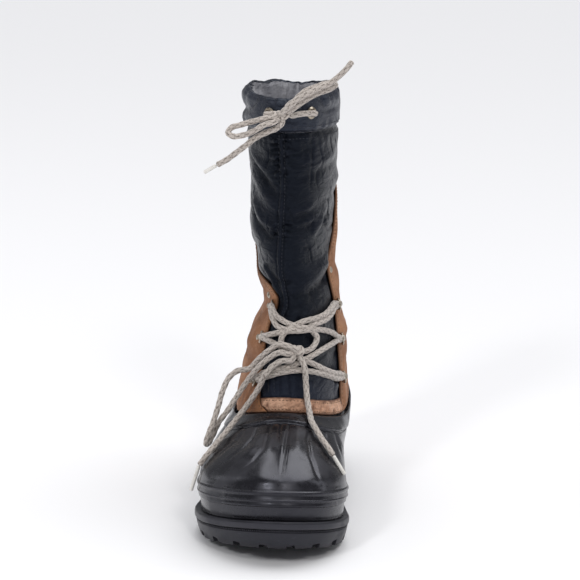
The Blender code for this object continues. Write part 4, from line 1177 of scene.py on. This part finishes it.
def seam_relief(level, angle, z):
    beside = beside_seam(angle)
    gap = np.abs(beside)
    strip = 0.0013 * np.exp(-((gap / SEAM_HALF) ** 4))
    groove = -0.0007 * np.exp(-(((gap - 0.0030) / 0.0009) ** 2))
    upper = np.clip((z - 0.262) / 0.018, 0, 1) * np.clip((0.309 - z) / 0.006, 0, 1)
    lower = 0.9 * np.exp(-(((z - 0.2295) / 0.0075) ** 2))
    reach = np.exp(-(((gap - 0.0054) / (0.0042 + 0.0008 * np.sin(z * 410))) ** 2))
    across = z + 0.0009 * np.sin(z * 900) + 0.12 * gap + 0.0008 * np.sign(beside)
    pucker = np.sin(2 * math.pi * across / PUCKER_PITCH)
    pucker = 0.0025 * pucker * reach * (upper + lower + 0.08)
    top = np.clip((level - 7.2) / 0.2, 0, 1)
    return (strip + groove + pucker) * top


def crumpled(points, length, seed):
    """Wandering creases, 0 to 1, where a slow unevenness passes through zero."""
    line = np.exp(-((waves(points, length, seed) / 0.16) ** 2))
    return line * np.clip(waves(points, length * 1.7, seed + 1) * 1.5, 0, 1)


def shaft_rise(level, angle):
    """How far the padded cloth stands out from the form, in metres."""
    turned = leaning(level, angle)
    points = surface(level, turned)
    z = points[:, 2]
    squashed = points * (0.5, 0.5, 1.0)
    rise = FOLD_DEPTH * folded(points, FOLD_LINES, trough=CRISP)
    rise += seam_relief(level, angle, z)
    rise += 0.0010 * waves(squashed, 0.045, 11) + 0.0004 * waves(squashed, 0.016, 12)
    rise -= 0.0014 * crumpled(squashed, 0.030, 21) + 0.0009 * crumpled(points, 0.018, 23)
    rise += 0.0008
    rise *= np.clip((level - 6.3) / 0.5, 0, 1)
    rise -= 0.0022 * np.exp(-(((CUFF_SEAM - level) / 0.10) ** 2))
    gathers = np.sin(angle * 34 + 2 * np.sin(angle * 5))
    rise += 0.0002 * gathers * np.exp(-(((CUFF_SEAM - 0.2 - level) / 0.2) ** 2))
    covered = under_leather(level, angle, z)
    sunk = np.maximum(rise, -0.0035 * (1 - covered) - 0.0003)
    rise = np.where(rise > 0, rise * (1 - covered), sunk)
    return rise - 0.0022 * under_leather(level, angle, z, margin=-1.0)


print(len(FOLDS), "folds drawn by hand")

# %% [markdown]
# ## The shaft
# The shaft is one wall from inside the rubber shell up to the collar's seam. Its outside takes
# the folds, and its inside is the plain lining, which has its own material.

# %% The shaft
SHAFT_STEPS = (
    (5.6, 0.0, 0), (6.2, 0.0, 4), (14.0, 0.0, 206), (14.0, -5.0, 3), (10.0, -5.0, 10),
    (7.0, -5.0, 8), (5.6, -5.0, 4), (5.6, 0.0, 2),
)
OUTSIDE_ROWS = rows_in(SHAFT_STEPS[:3])
CLOTH_ROUND, SHAFT_CLOTH, COLLAR_CLOTH = 0.24, 0.5, 0.08  # the UV maps' real width and lengths


def shaft_point(level, angle, out):
    turned = leaning(level, angle)
    return skin(level, turned, shaft_face(level) + out)


def shaft_place(across, up):
    row, level, out, angle = on_wall(SHAFT_STEPS, across, up)
    outside = row <= OUTSIDE_ROWS
    rise = np.zeros(len(row))
    rise[outside] = shaft_rise(level[outside], angle[outside])
    return shaft_point(level, angle, out + rise), painted_light_and_wear_by_rise(rise)


def line_inside(made, cloth_length, rows, last_outside):
    """Gives a wall's faces past a row of its grid the lining, which is its second material."""
    uv = made.data.uv_layers[0].data
    for face in made.data.polygons:
        up = sum(uv[i].uv[1] for i in face.loop_indices) / face.loop_total / cloth_length
        face.material_index = int(up * rows > last_outside)


bm = new_sheet()
laid(bm, 360, rows_in(SHAFT_STEPS), shaft_place)
shaft = piece("shaft_padded", outward_faces(bm), [NYLON, LINING], ["shaft"],
              cloth=(CLOTH_ROUND, SHAFT_CLOTH))
line_inside(shaft, SHAFT_CLOTH, rows_in(SHAFT_STEPS), OUTSIDE_ROWS + 1)
print("nylon outside, lining inside")

# %% [markdown]
# ## The collar
# The collar is a soft padded ring with the drawcord's channel in it. The cord gathers it, so its
# rim is pleated all round, and it bulges into a small roll at the outer side. Two holes for
# the eyelets are cut through it where the cloth is kept smooth.

# %% The collar
EYELETS = {"cuff_eyelet_inner": (31, 15.0), "cuff_eyelet_outer": (-17, 15.0)}  # degrees, level
EYELET_HOLE, EYELET_FLANGE = 0.0030, 0.0048
CUFF_STEPS = (
    (14.02, -1.0, 0), (14.1, 0.9, 5), (14.3, 1.6, 8), (15.0, 1.8, 26), (15.6, 1.5, 22),
    (15.86, 0.6, 10), (15.98, -0.8, 6), (16.0, -2.4, 4), (15.9, -4.0, 5), (15.7, -4.5, 6),
    (15.0, -5.0, 14), (14.02, -5.0, 8), (14.02, -1.0, 2),
)
COLLAR_FOLDS = (  # height in mm, width in mm, and spots as degrees from the front and levels
    (2.6, 7.0, ((-48, 15.75), (-70, 15.55), (-100, 15.5), (-125, 15.6))),
    (-2.4, 3.4, ((-44, 15.2), (-62, 14.95), (-90, 14.85), (-118, 14.95))),
    (1.6, 4.5, ((-40, 14.5), (-66, 14.45), (-95, 14.45))),
    (-1.6, 2.8, ((-36, 15.85), (-40, 15.5), (-50, 15.2))),
    (1.4, 4.0, ((44, 15.6), (62, 15.45), (85, 15.5))),
    (-1.3, 2.6, ((42, 15.1), (58, 14.95), (80, 15.0))),
    (-1.2, 2.2, ((50, 15.9), (47, 15.5), (52, 15.2))),
    (1.2, 3.0, ((58, 15.9), (56, 15.5), (60, 15.2))),
    (-1.0, 2.6, ((8, 15.7), (6, 15.3), (9, 15.0))),
    (-1.1, 2.6, ((-4, 14.6), (8, 14.5), (20, 14.55))),
)
COLLAR_LINES = drawn(COLLAR_FOLDS, spot_at_level)
COLLAR_OUTSIDE_ROWS = rows_in(CUFF_STEPS[:9])


def facing(middle, out):
    """A place whose own Z points out of the boot."""
    return Matrix.Translation(middle) @ out.to_track_quat("Z", "Y").to_matrix().to_4x4()


def eyelet_place(name):
    degrees, level = EYELETS[name]
    angle = math.pi - math.radians(degrees)
    return Vector(skin(level, angle, 0.0017)), Vector(outward(np.float64(level), np.float64(angle)))


def gathered(angle):
    """Uneven upright pleats round the rim, from -1 to 1."""
    slow = np.sin(angle * 19 + 2.6 * np.sin(angle * 3 + 0.7) + 1.7 * np.sin(angle * 5 + 2.0))
    return (slow + 0.5 * np.sin(angle * 31 + 1.9 + 2 * np.sin(angle * 4))) / 1.5


def cuff_rise(level, angle):
    turned = leaning(level, angle)
    points = surface(level, turned)
    gathers = gathered(angle)
    back = 0.35 + 0.65 * (1 + np.cos(angle)) / 2
    rise = 0.0015 * gathers * back * np.clip((level - 14.9) / 0.9, 0, 1)
    rise += 0.0007 * gathers * np.exp(-(((level - 14.2) / 0.25) ** 2))
    rise += folded(points, COLLAR_LINES, ends=0.5)
    rise += 0.0007 * waves(points, 0.03, 31) - 0.0007 * crumpled(points, 0.02, 33)
    for name in EYELETS:
        middle, _ = eyelet_place(name)
        gap = np.linalg.norm(points - np.array(middle), axis=1)
        rise *= np.clip((gap - 0.0058) / 0.004, 0, 1)
    return rise


def cuff_place(across, up):
    _, level, out, angle = on_wall(CUFF_STEPS, across, up)
    rise = cuff_rise(level, angle)
    inner = out < -0.003
    down = np.clip((level - 14.9) / 0.8, 0, 1)
    pleats = 0.0012 * gathered(angle + 0.05)
    rise = np.where(inner, (np.minimum(rise, 0.0014) * 2.2 + pleats) * down, rise)
    points = skin(level, leaning(level, angle), out + rise)
    lifted = 0.0004 * gathered(angle) + 0.0013 * waves(points * (1, 1, 0), 0.045, 35)
    points[:, 2] += lifted * np.clip((level - 15.4) / 0.6, 0, 1)
    return points, painted_light_and_wear_by_rise(rise)


bm = new_sheet()
laid(bm, 340, rows_in(CUFF_STEPS), cuff_place)
cuff = piece("collar_gathered", outward_faces(bm), [COLLAR, LINING], ["cuff"],
             cloth=(CLOTH_ROUND, COLLAR_CLOTH))
line_inside(cuff, COLLAR_CLOTH, rows_in(CUFF_STEPS), COLLAR_OUTSIDE_ROWS)
pins = bmesh.new()
for name in EYELETS:
    bmesh.ops.create_cone(pins, cap_ends=True, segments=32, radius1=EYELET_HOLE + GAP,
                          radius2=EYELET_HOLE + GAP, depth=0.016, matrix=facing(*eyelet_place(name)))
cut_away(cuff, pins, "eyelet_holes")
print("the collar has", len(cuff.data.polygons), "faces and two holes")

# %% [markdown]
# ## Leather
# The leather is brown full grain, orange where it is dry, painted darker along its edges, and
# darkened by painted shade where the foot bends it.
# A cut piece of it is a thin wall with rounded edges. A grid goes up the outside and down the
# inside, and both sides meet at every edge, so it closes all round.

# %% The finish of the leather
def leather_finish(name, light, dark, pebble, depth, speckle):
    material, tree, shader = finish_named(name, 0.62, 0.35)
    where = in_place(tree)
    patches = between(tree, cloudy(tree, where, 24.0, 8.0, 0.68), 0.36, 0.64)
    specks = between(tree, cloudy(tree, where, speckle, 4.0), 0.56, 0.80, 0.0, 0.6)
    # Painted shade: the leather turns dark in its creases and dents, and it is also painted darker
    # along its edges.
    wear_and_crease_shade = between(tree, shade_of(tree), 0.2, 0.75)
    tone = mixed(tree, patches, dark, light)
    tone = mixed(tree, specks, tone, [value * 0.32 for value in dark])
    tone = mixed(tree, wear_and_crease_shade, [value * 0.5 for value in dark], tone)
    tree.links.new(tone, shader.inputs["Base Color"])
    tree.links.new(between(tree, patches, 0, 1, 0.72, 0.55), shader.inputs["Roughness"])
    cells = add(tree, "TexVoronoi", Vector=where, Scale=pebble, feature="DISTANCE_TO_EDGE")
    grain = between(tree, cells.outputs["Distance"], 0.0, 0.25)
    fine = add(tree, "Bump", Height=grain, Distance=depth * 0.5, Strength=0.5)
    broad = add(tree, "Bump", Height=cloudy(tree, where, 260.0, 5.0), Distance=depth, Strength=0.7,
                Normal=fine.outputs["Normal"])
    tree.links.new(broad.outputs["Normal"], shader.inputs["Normal"])
    return material


QUARTER_LEATHER = leather_finish("quarter_leather", (0.40, 0.185, 0.085), (0.25, 0.105, 0.045),
                                 pebble=900, depth=0.0012, speckle=900)
BAND_LEATHER = leather_finish("band_leather", (0.66, 0.39, 0.26), (0.34, 0.16, 0.09),
                              pebble=480, depth=0.0014, speckle=380)
print("two leathers")

# %% [markdown]
# ## The quarter and the band
# Two panels are cut from it. The quarter goes round the heel from one row of rings to the other,
# creased where the ankle bends, and the band runs round the front between its two ends.

# %% The quarter and the band
EDGE_PLACES = (0.0, 0.00015, 0.0005, 0.0011)  # metres in from an edge, where the edge is rounded


def edged(count, length):
    """Places from one edge to the other in metres, close together at both edges."""
    ends = np.array(EDGE_PLACES)
    middle = np.linspace(ends[-1], length - ends[-1], count + 3 - 2 * len(ends))
    return np.concatenate([ends[:-1], middle, length - ends[:-1][::-1]])


def rounded(place, length):
    near_edge = np.clip(np.minimum(place, length - place) / EDGE_PLACES[-1], 0, 1)
    return np.sqrt(np.maximum(1 - (1 - near_edge) ** 2, 0))


def make_hide(name, size, grid, where, material, node):
    """A leather panel of a width and height. where gives the place for two shares and a lift."""
    wide, tall = size
    columns, rows = grid
    across_places, up_places = edged(columns, wide), edged(rows, tall)

    def place(across, up):
        column = np.rint(across * columns).astype(int)
        step = np.rint(up * 2 * rows).astype(int)
        row = np.where(step > rows, 2 * rows - step, step)
        u, v = across_places[column], up_places[row]
        half = LEATHER / 2 * rounded(u, wide) * rounded(v, tall)
        lift = LEATHER_GAP + LEATHER / 2 + np.where(step > rows, -half, half)
        inside_edge = np.minimum(np.minimum(u, wide - u), np.minimum(v, tall - v))
        # Darker near every edge; the tone from where() adds painted shade in the creases and dents.
        shade = np.clip(0.25 + inside_edge / 0.0025, 0, 1)
        points, tone = where(u / wide, v / tall, lift)
        return points, shade * tone

    bm = new_sheet()
    laid(bm, columns, 2 * rows, place)
    return piece(name, outward_faces(bm), [material], [node], cloth=(wide, tall * 2))


# Creases where the ankle bends and round the heel, as for the nylon
LEATHER_FOLDS = (
    (-1.3, 3.4, ((70, 126), (92, 121), (118, 126))),
    (1.2, 5.0, ((72, 135), (96, 131), (122, 136))),
    (-1.2, 3.6, ((78, 146), (100, 149), (130, 144))),
    (-1.0, 3.2, ((84, 108), (104, 104), (126, 107))),
    (1.0, 6.0, ((86, 168), (108, 174), (140, 170))),
    (-1.2, 4.2, ((92, 186), (118, 192), (146, 187))),
    (-1.4, 4.5, ((148, 152), (180, 147), (212, 152))),
    (1.4, 6.0, ((146, 163), (180, 159), (214, 163))),
    (-1.2, 4.4, ((152, 176), (180, 179), (208, 175))),
    (-1.0, 5.0, ((150, 208), (182, 212), (214, 208))),
    (-1.3, 3.4, ((-36, 124), (-58, 118), (-86, 123))),
    (1.2, 5.0, ((-38, 133), (-60, 128), (-90, 133))),
    (-1.3, 3.6, ((-42, 147), (-66, 150), (-98, 144))),
    (1.0, 6.0, ((-60, 160), (-86, 164), (-112, 160))),
    (-1.0, 3.2, ((-56, 105), (-80, 101), (-108, 105))),
    (-1.1, 4.2, ((-104, 184), (-128, 190), (-150, 186))),
)


def bent_round(folds, parts=4):
    """The same folds with more spots, so that a long one follows the leg's roundness."""
    finer = []
    for tall, width, spots in folds:
        at = np.linspace(0, len(spots) - 1, parts * (len(spots) - 1) + 1)
        degrees, heights = (np.interp(at, range(len(spots)), column) for column in zip(*spots))
        finer.append((tall, width, list(zip(degrees, heights))))
    return finer


CREASES = drawn(bent_round(LEATHER_FOLDS), spot_at_height)
QUARTER_SIZE, BAND_SIZE = (0.185, 0.130), (0.062, 0.011)
BAND_END_GAP = 0.8  # degrees from the quarter
CREASE_DEPTH = 1.7  # times what the table says
ROUND = np.linspace(-math.pi, math.pi, 181)
QUARTER_LEVELS = levels_at(quarter_height(np.degrees(ROUND)), ROUND, LEATHER_FOOT, 15)


def quarter_spot(u, v):
    """The level and the angle of a place on the quarter, by its shares across and up."""
    angle = np.radians(QUARTER_OUTER + (QUARTER_INNER - QUARTER_OUTER) * u)
    top = np.interp(angle, ROUND, QUARTER_LEVELS)
    return LEATHER_FOOT + (top - LEATHER_FOOT) * v, angle


def band_spot(u, v):
    first, last = QUARTER_INNER + BAND_END_GAP, QUARTER_OUTER + 360 - BAND_END_GAP
    return LEATHER_FOOT + (BAND_TOP - LEATHER_FOOT) * v, np.radians(first + (last - first) * u)


def quarter_where(u, v, lift):
    level, angle = quarter_spot(u, v)
    points = shaft_point(level, angle, lift)
    inside_edge = np.clip(np.minimum(np.minimum(u, 1 - u) / 0.03, (1 - v) / 0.08), 0, 1)
    swell = 0.0011 * (1 + waves(points, 0.05, 41)) + 0.0009 * np.clip(waves(points, 0.022, 42), 0, 1)
    crease = CREASE_DEPTH * folded(points, CREASES, trough=CRISP)
    crease -= 0.0011 * crumpled(points, 0.030, 45)
    swell = np.maximum(swell + crease, -0.0020) * inside_edge * np.clip(v / 0.1, 0, 1)
    # The second value is painted shade, darker in the creases.
    return shaft_point(level, angle, lift + swell), np.clip(0.92 + crease * 330, 0.3, 1)


def band_where(u, v, lift):
    level, angle = band_spot(u, v)
    points = shaft_point(level, angle, lift)
    dents = 0.00055 * waves(points, 0.006, 43) + 0.0004 * waves(points, 0.0035, 44)
    inside_edge = np.clip(np.minimum(v, 1 - v) / 0.2, 0, 1)
    points = shaft_point(level, angle, lift + (0.0006 + dents) * inside_edge)
    # The second value is painted shade, darker in the dents.
    return points, np.clip(0.75 + dents * 450, 0.2, 1)


make_hide("quarter_leather", QUARTER_SIZE, (250, 110), quarter_where, QUARTER_LEATHER,
          "leather_quarter")
make_hide("band_leather", BAND_SIZE, (220, 26), band_where, BAND_LEATHER, "leather_band")

# %% [markdown]
# ## Stitches
# Thread shows as rows of short raised dashes. Each is a stretched little ball of two dozen
# faces, and each row follows a line on its cloth. All rows of one thread are one piece.

# %% Stitches
def thread_finish(name, colour):
    material, tree, shader = finish_named(name, 0.8, 0.3)
    fibre = cloudy(tree, in_place(tree), 3000.0, 2.0)
    tree.links.new(mixed(tree, fibre, [value * 0.6 for value in colour], colour),
                   shader.inputs["Base Color"])
    return material


NYLON_STITCH, QUARTER_STITCH = (0.0031, 0.0007), (0.0034, 0.0008)  # pitch and width
BAND_STITCH = (0.0030, 0.0008)
BESIDE_SEAM = 0.0021  # metres from the front seam's middle to each row


def add_stitches(bm, line, normals, pitch, width):
    along = lengths_along(line)
    for at in np.arange(pitch / 2, along[-1], pitch):
        middle = np.array([np.interp(at, along, line[:, k]) for k in range(3)])
        ahead = np.array([np.interp(at + pitch / 4, along, line[:, k]) for k in range(3)])
        out = Vector([np.interp(at, along, normals[:, k]) for k in range(3)]).normalized()
        way = Vector(ahead - middle).normalized()
        side = out.cross(way).normalized()
        turn = Matrix((way, side, way.cross(side))).transposed().to_4x4()
        size = Matrix.Diagonal((pitch * 0.68, width, width * 0.8, 1))
        place = Matrix.Translation(middle) @ turn @ size
        bmesh.ops.create_uvsphere(bm, u_segments=6, v_segments=4, radius=0.5, matrix=place)


def normals_on(levels, angles):
    return outward(levels, leaning(levels, angles))


def sew_nylon(bm, levels, angles, rise_of, lift=0.0):
    levels, angles = np.broadcast_arrays(levels, angles)
    line = shaft_point(levels, angles, rise_of(levels, angles) + lift)
    add_stitches(bm, line, normals_on(levels, angles), *NYLON_STITCH)


def sew_leather(bm, u, v, spot_of, where, stitch):
    u, v = np.broadcast_arrays(u, v)
    line, _ = where(u, v, LEATHER_GAP + LEATHER)
    add_stitches(bm, line, normals_on(*spot_of(u, v)), *stitch)


bm = new_sheet()
for side in (-1, 1):
    sew_nylon(bm, np.linspace(7.25, 13.92, 400), math.pi + side * BESIDE_SEAM / METRES_PER_TURN,
              shaft_rise)
all_round = np.linspace(0, 2 * math.pi, 500)
sew_nylon(bm, 13.86, all_round, shaft_rise)
sew_nylon(bm, 14.2, all_round, cuff_rise, lift=0.0014)
piece("stitches_nylon", bm, [thread_finish("dark_thread", (0.045, 0.048, 0.062))])

bm = new_sheet()
for from_top in (0.0022, 0.0050):
    sew_leather(bm, np.linspace(0.03, 0.97, 500), 1 - from_top / QUARTER_SIZE[1], quarter_spot,
                quarter_where, QUARTER_STITCH)
for across in (0.0125, 0.9875):
    sew_leather(bm, across, np.linspace(0.04, 0.97, 300), quarter_spot, quarter_where,
                QUARTER_STITCH)
for up in (0.16, 0.86):
    sew_leather(bm, np.linspace(0.01, 0.99, 300), up, band_spot, band_where, BAND_STITCH)
piece("stitches_leather", bm, [thread_finish("brown_thread", (0.20, 0.12, 0.07))])

# %% [markdown]
# ## Rings, rivets and eyelets
# Each lace ring is a D of wire, held by a folded metal clip under a domed rivet, and tilted
# out by the pull of the lace. A rivet's head and an eyelet are turned shapes: a profile is drawn
# once and spun round its axis.

# %% Rings, rivets and eyelets
def metal_finish():
    material, tree, shader = finish_named("aged_metal", 0.34)
    where = in_place(tree)
    tarnish = between(tree, cloudy(tree, where, 420.0, 5.0), 0.4, 0.7)
    tree.links.new(mixed(tree, tarnish, (0.42, 0.37, 0.30), (0.12, 0.095, 0.07)),
                   shader.inputs["Base Color"])
    tree.links.new(between(tree, tarnish, 0, 1, 0.28, 0.5), shader.inputs["Roughness"])
    shader.inputs["Metallic"].default_value = 1.0
    dented(tree, shader, cloudy(tree, where, 900.0), 0.0001, 0.6)
    return material


METAL = metal_finish()
RING_WIRE, RING_WIDTH, RING_REACH, RING_INSET = 0.0022, 0.011, 0.0078, 0.006
RING_TILT = math.radians(20)
RIVET_RADIUS = 0.0032
CLIP_LEAF, CLIP_BEVEL = (0.0066, 0.0046, 0.0006), 0.00022
CLIP_LEAVES = ((-0.0014, 0, 0.0003), (-0.0014, 0, 0.0031))  # from the ring's rivet
CLIP_RIVET = (-0.0022, 0, 0.0033)
RINGS = {
    "row": ("low", "middle", "top"),
    "outer": (0.086, 0.213, 0.306),
    "inner": (0.035, 0.157, 0.269),
}
SIDES = {"outer": (math.radians(QUARTER_OUTER), -1), "inner": (math.radians(QUARTER_INNER), 1)}


def on_leather(side, height_share, inset=RING_INSET):
    """A rivet's place, its outward direction, and the way on to the throat."""
    angle, way = SIDES[side]
    z = INSTEP + (HEIGHT - INSTEP) * height_share
    level = levels_at([z], [angle], 6.3, 13)[0]
    lift = LEATHER_GAP + LEATHER
    edge, back = (Vector(shaft_point(level, a, lift)) for a in (angle, angle - way * 0.05))
    angle -= way * 0.05 * inset / (back - edge).length
    middle, beside = (Vector(shaft_point(level, a, lift)) for a in (angle, angle + way * 0.02))
    out = Vector(outward(np.float64(level), leaning(level, np.float64(angle))))
    along = beside - middle
    return middle, out, (along - out * along.dot(out)).normalized()


def frame_at(middle, along, out):
    made = Matrix((along, out.cross(along), out)).transposed().to_4x4()
    made.translation = middle
    return made


def add_turned(bm, profile, steps, place):
    """Spins a profile of (radius, height) spots round an axis."""
    before = set(bm.verts)
    verts = [bm.verts.new((radius, 0, high)) for radius, high in profile]
    edges = [bm.edges.new(pair) for pair in zip(verts, verts[1:])]
    bmesh.ops.spin(bm, geom=verts + edges, cent=(0, 0, 0), axis=(0, 0, 1),
                   angle=2 * math.pi, steps=steps, use_merge=True)
    made = [vert for vert in bm.verts if vert not in before]
    bmesh.ops.transform(bm, matrix=place, verts=made)
    bmesh.ops.remove_doubles(bm, verts=made, dist=2 * JOIN)


def add_rivet(bm, place, radius, rise):
    profile = ((0, rise), (0.45 * radius, 0.93 * rise), (0.8 * radius, 0.62 * rise),
               (0.97 * radius, 0.25 * rise), (radius, 0), (0, 0))
    add_turned(bm, profile, 24, place)


def make_ring(side, row, height_share):
    middle, out, along = on_leather(side, height_share)
    tilted = along * math.cos(RING_TILT) + out * math.sin(RING_TILT)
    upright = tilted.cross(out.cross(tilted)).normalized()
    place = frame_at(middle + out * (CLIP_LEAF[2] + RING_WIRE / 2), tilted, upright)
    half, bow = RING_WIDTH / 2 - RING_WIRE / 2, RING_REACH - RING_WIRE / 2
    turns = np.radians(np.arange(-80, 81, 20))
    path = [(0, 0), (0, half * 0.8)] + [(bow * math.cos(a), -half * math.sin(a)) for a in turns]
    path += [(0, -half * 0.8), (0, 0)]
    line = np.array([place @ Vector((x, y, 0)) for x, y in path]) * 1000
    bm = new_sheet()
    add_tube(bm, curve_through(line, 0.0004), RING_WIRE, braided=False, around=12, round_ends=False)
    clip = frame_at(middle, along, out)
    for leaf in CLIP_LEAVES:
        add_block(bm, clip @ Matrix.Translation(leaf), CLIP_LEAF, CLIP_BEVEL)
    add_rivet(bm, clip @ Matrix.Translation(CLIP_RIVET), 0.0024, 0.0013)
    piece(f"ring_{side}_{row}", outward_faces(bm), [METAL], [f"lace_ring_{side}_{row}"],
          sharp=50)
    return (place @ Vector((RING_REACH * 0.45, 0, 0.0002))) * 1000


hooks = {}
for side in SIDES:
    for row, height_share in zip(RINGS["row"], RINGS[side]):
        hooks[side, row] = tuple(make_ring(side, row, height_share))
for side, height_share, inset in (("inner", 0.385, 0.006), ("outer", 0.342, 0.013)):
    middle, out, along = on_leather(side, height_share, inset)
    bm = new_sheet()
    add_rivet(bm, frame_at(middle + out * 0.0002, along, out), RIVET_RADIUS * 0.95, 0.0018)
    piece(f"rivet_{side}", outward_faces(bm), [METAL], [f"quarter_rivet_{side}"],
          sharp=50)
for name in EYELETS:
    hole = EYELET_HOLE - 0.0005
    profile = (
        (hole, -0.005), (EYELET_HOLE, -0.005), (EYELET_HOLE, 0.0006), (EYELET_FLANGE, 0.0004),
        (EYELET_FLANGE + 0.0002, 0.0009), (EYELET_FLANGE - 0.0004, 0.0015), (0.0037, 0.0021),
        (hole + 0.0003, 0.0018), (hole, 0.0012), (hole, -0.005),
    )
    bm = new_sheet()
    add_turned(bm, profile, 40, facing(*eyelet_place(name)))
    piece(f"eyelet_{name[12:]}", outward_faces(bm), [METAL], [name], sharp=50)

# %% [markdown]
# ## The lace over the throat
# The lace runs from ring to ring in crossed bars, and turns back through each ring. The bars
# are one chain of points: each strand's own points, then the ring's hook, then the next strand.

# %% The lace over the throat
STRANDS = {
    "low_bar": ((45, -75.5, 101.5), (43.5, -82, 103), (36, -101.5, 111), (25.5, -116.5, 118),
                (14, -126, 121.5), (-1.5, -129, 119.5), (-14, -126, 114.5)),
    "rising": ((-15.5, -122.5, 117), (-5, -127, 122), (9, -125.5, 125), (21, -115.5, 129),
               (32.5, -96.5, 132), (39.5, -76, 132), (42, -64, 131)),
    "falling": ((45, -74, 105), (43, -81, 107), (37, -97.5, 113.5), (23.5, -116, 125.5),
                (11, -121, 132.5), (0, -118.5, 138.5), (-10.5, -111, 141.5)),
    "middle_bar": ((-11.5, -108.5, 146), (-3, -112, 149), (6, -112, 150.5), (15.5, -109.5, 150.5),
                   (23, -103, 150), (33, -87.5, 145.5), (39, -73.5, 139.5), (42, -63.5, 134)),
    "upper_outer": ((-9.5, -99.5, 167), (-7, -102.5, 162.5), (-1.5, -107, 159), (5.5, -109.5, 156),
                    (14.5, -109, 153.5), (23.5, -103.5, 151)),
    "lower_outer": ((-10, -100.5, 162.5), (-8, -104, 157.5), (-3, -109.5, 153), (3.5, -112, 152),
                    (11.5, -111.5, 151), (18.5, -106.5, 150.5)),
    "upper_inner": ((38.5, -57, 161), (37, -65.5, 160), (33.5, -80, 158), (26.5, -94.5, 157.5),
                    (17.5, -105.5, 157.5), (9.5, -109.5, 154.5), (4, -112.5, 151),
                    (0.5, -114, 147), (-0.5, -116.5, 142), (2, -119, 137.5), (7, -121, 134)),
    "lower_inner": ((39, -57, 157.5), (37.5, -67.5, 155.5), (33.5, -82.5, 153.5),
                    (26.5, -97, 153.5), (20.5, -104, 152.5)),
    "tucked": ((23, -103, 149.5), (27.5, -100, 142.5), (25.5, -105.5, 137), (20.5, -112.5, 134.5),
               (15.5, -117, 135)),
}
CHAINS = (
    (("inner", "low"), "low_bar", ("outer", "low"), "rising", ("inner", "middle"), "-middle_bar",
     ("outer", "middle"), "-falling", ("inner", "low")),
    ("-upper_outer", ("outer", "top"), "lower_outer"),
    ("-upper_inner", ("inner", "top"), "lower_inner"),
    ("tucked",),
)


def chain_route(chain):
    route = []
    for link in chain:
        if isinstance(link, tuple):
            route.append(hooks[link])
        elif link[0] == "-":
            route += reversed(STRANDS[link[1:]])
        else:
            route += STRANDS[link]
    return route


bm = new_sheet()
for chain in CHAINS:
    add_tube(bm, curve_through(chain_route(chain), 0.0007), CORD, around=18)
piece("lace_over_throat", outward_faces(bm), [CORD_FINISH], ["lace_bars"])

# %% [markdown]
# ## The insole
# The insole is a flat felt pad on the sole, and only shows down the shaft. Its solid already has
# the right shape, so it only gets its finish.

# %% The insole
def felt_finish():
    material, tree, shader = finish_named("brushed_felt", 0.95, 0.15)
    where = in_place(tree)
    fibres = between(tree, cloudy(tree, where, 700.0, 5.0), 0.35, 0.65)
    tree.links.new(mixed(tree, fibres, (0.24, 0.23, 0.215), (0.42, 0.405, 0.385)),
                   shader.inputs["Base Color"])
    dented(tree, shader, cloudy(tree, where, 1200.0), 0.0005, 0.7)
    return material


FELT = felt_finish()
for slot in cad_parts["insole"].material_slots:
    slot.material = FELT
print("the insole is felt")
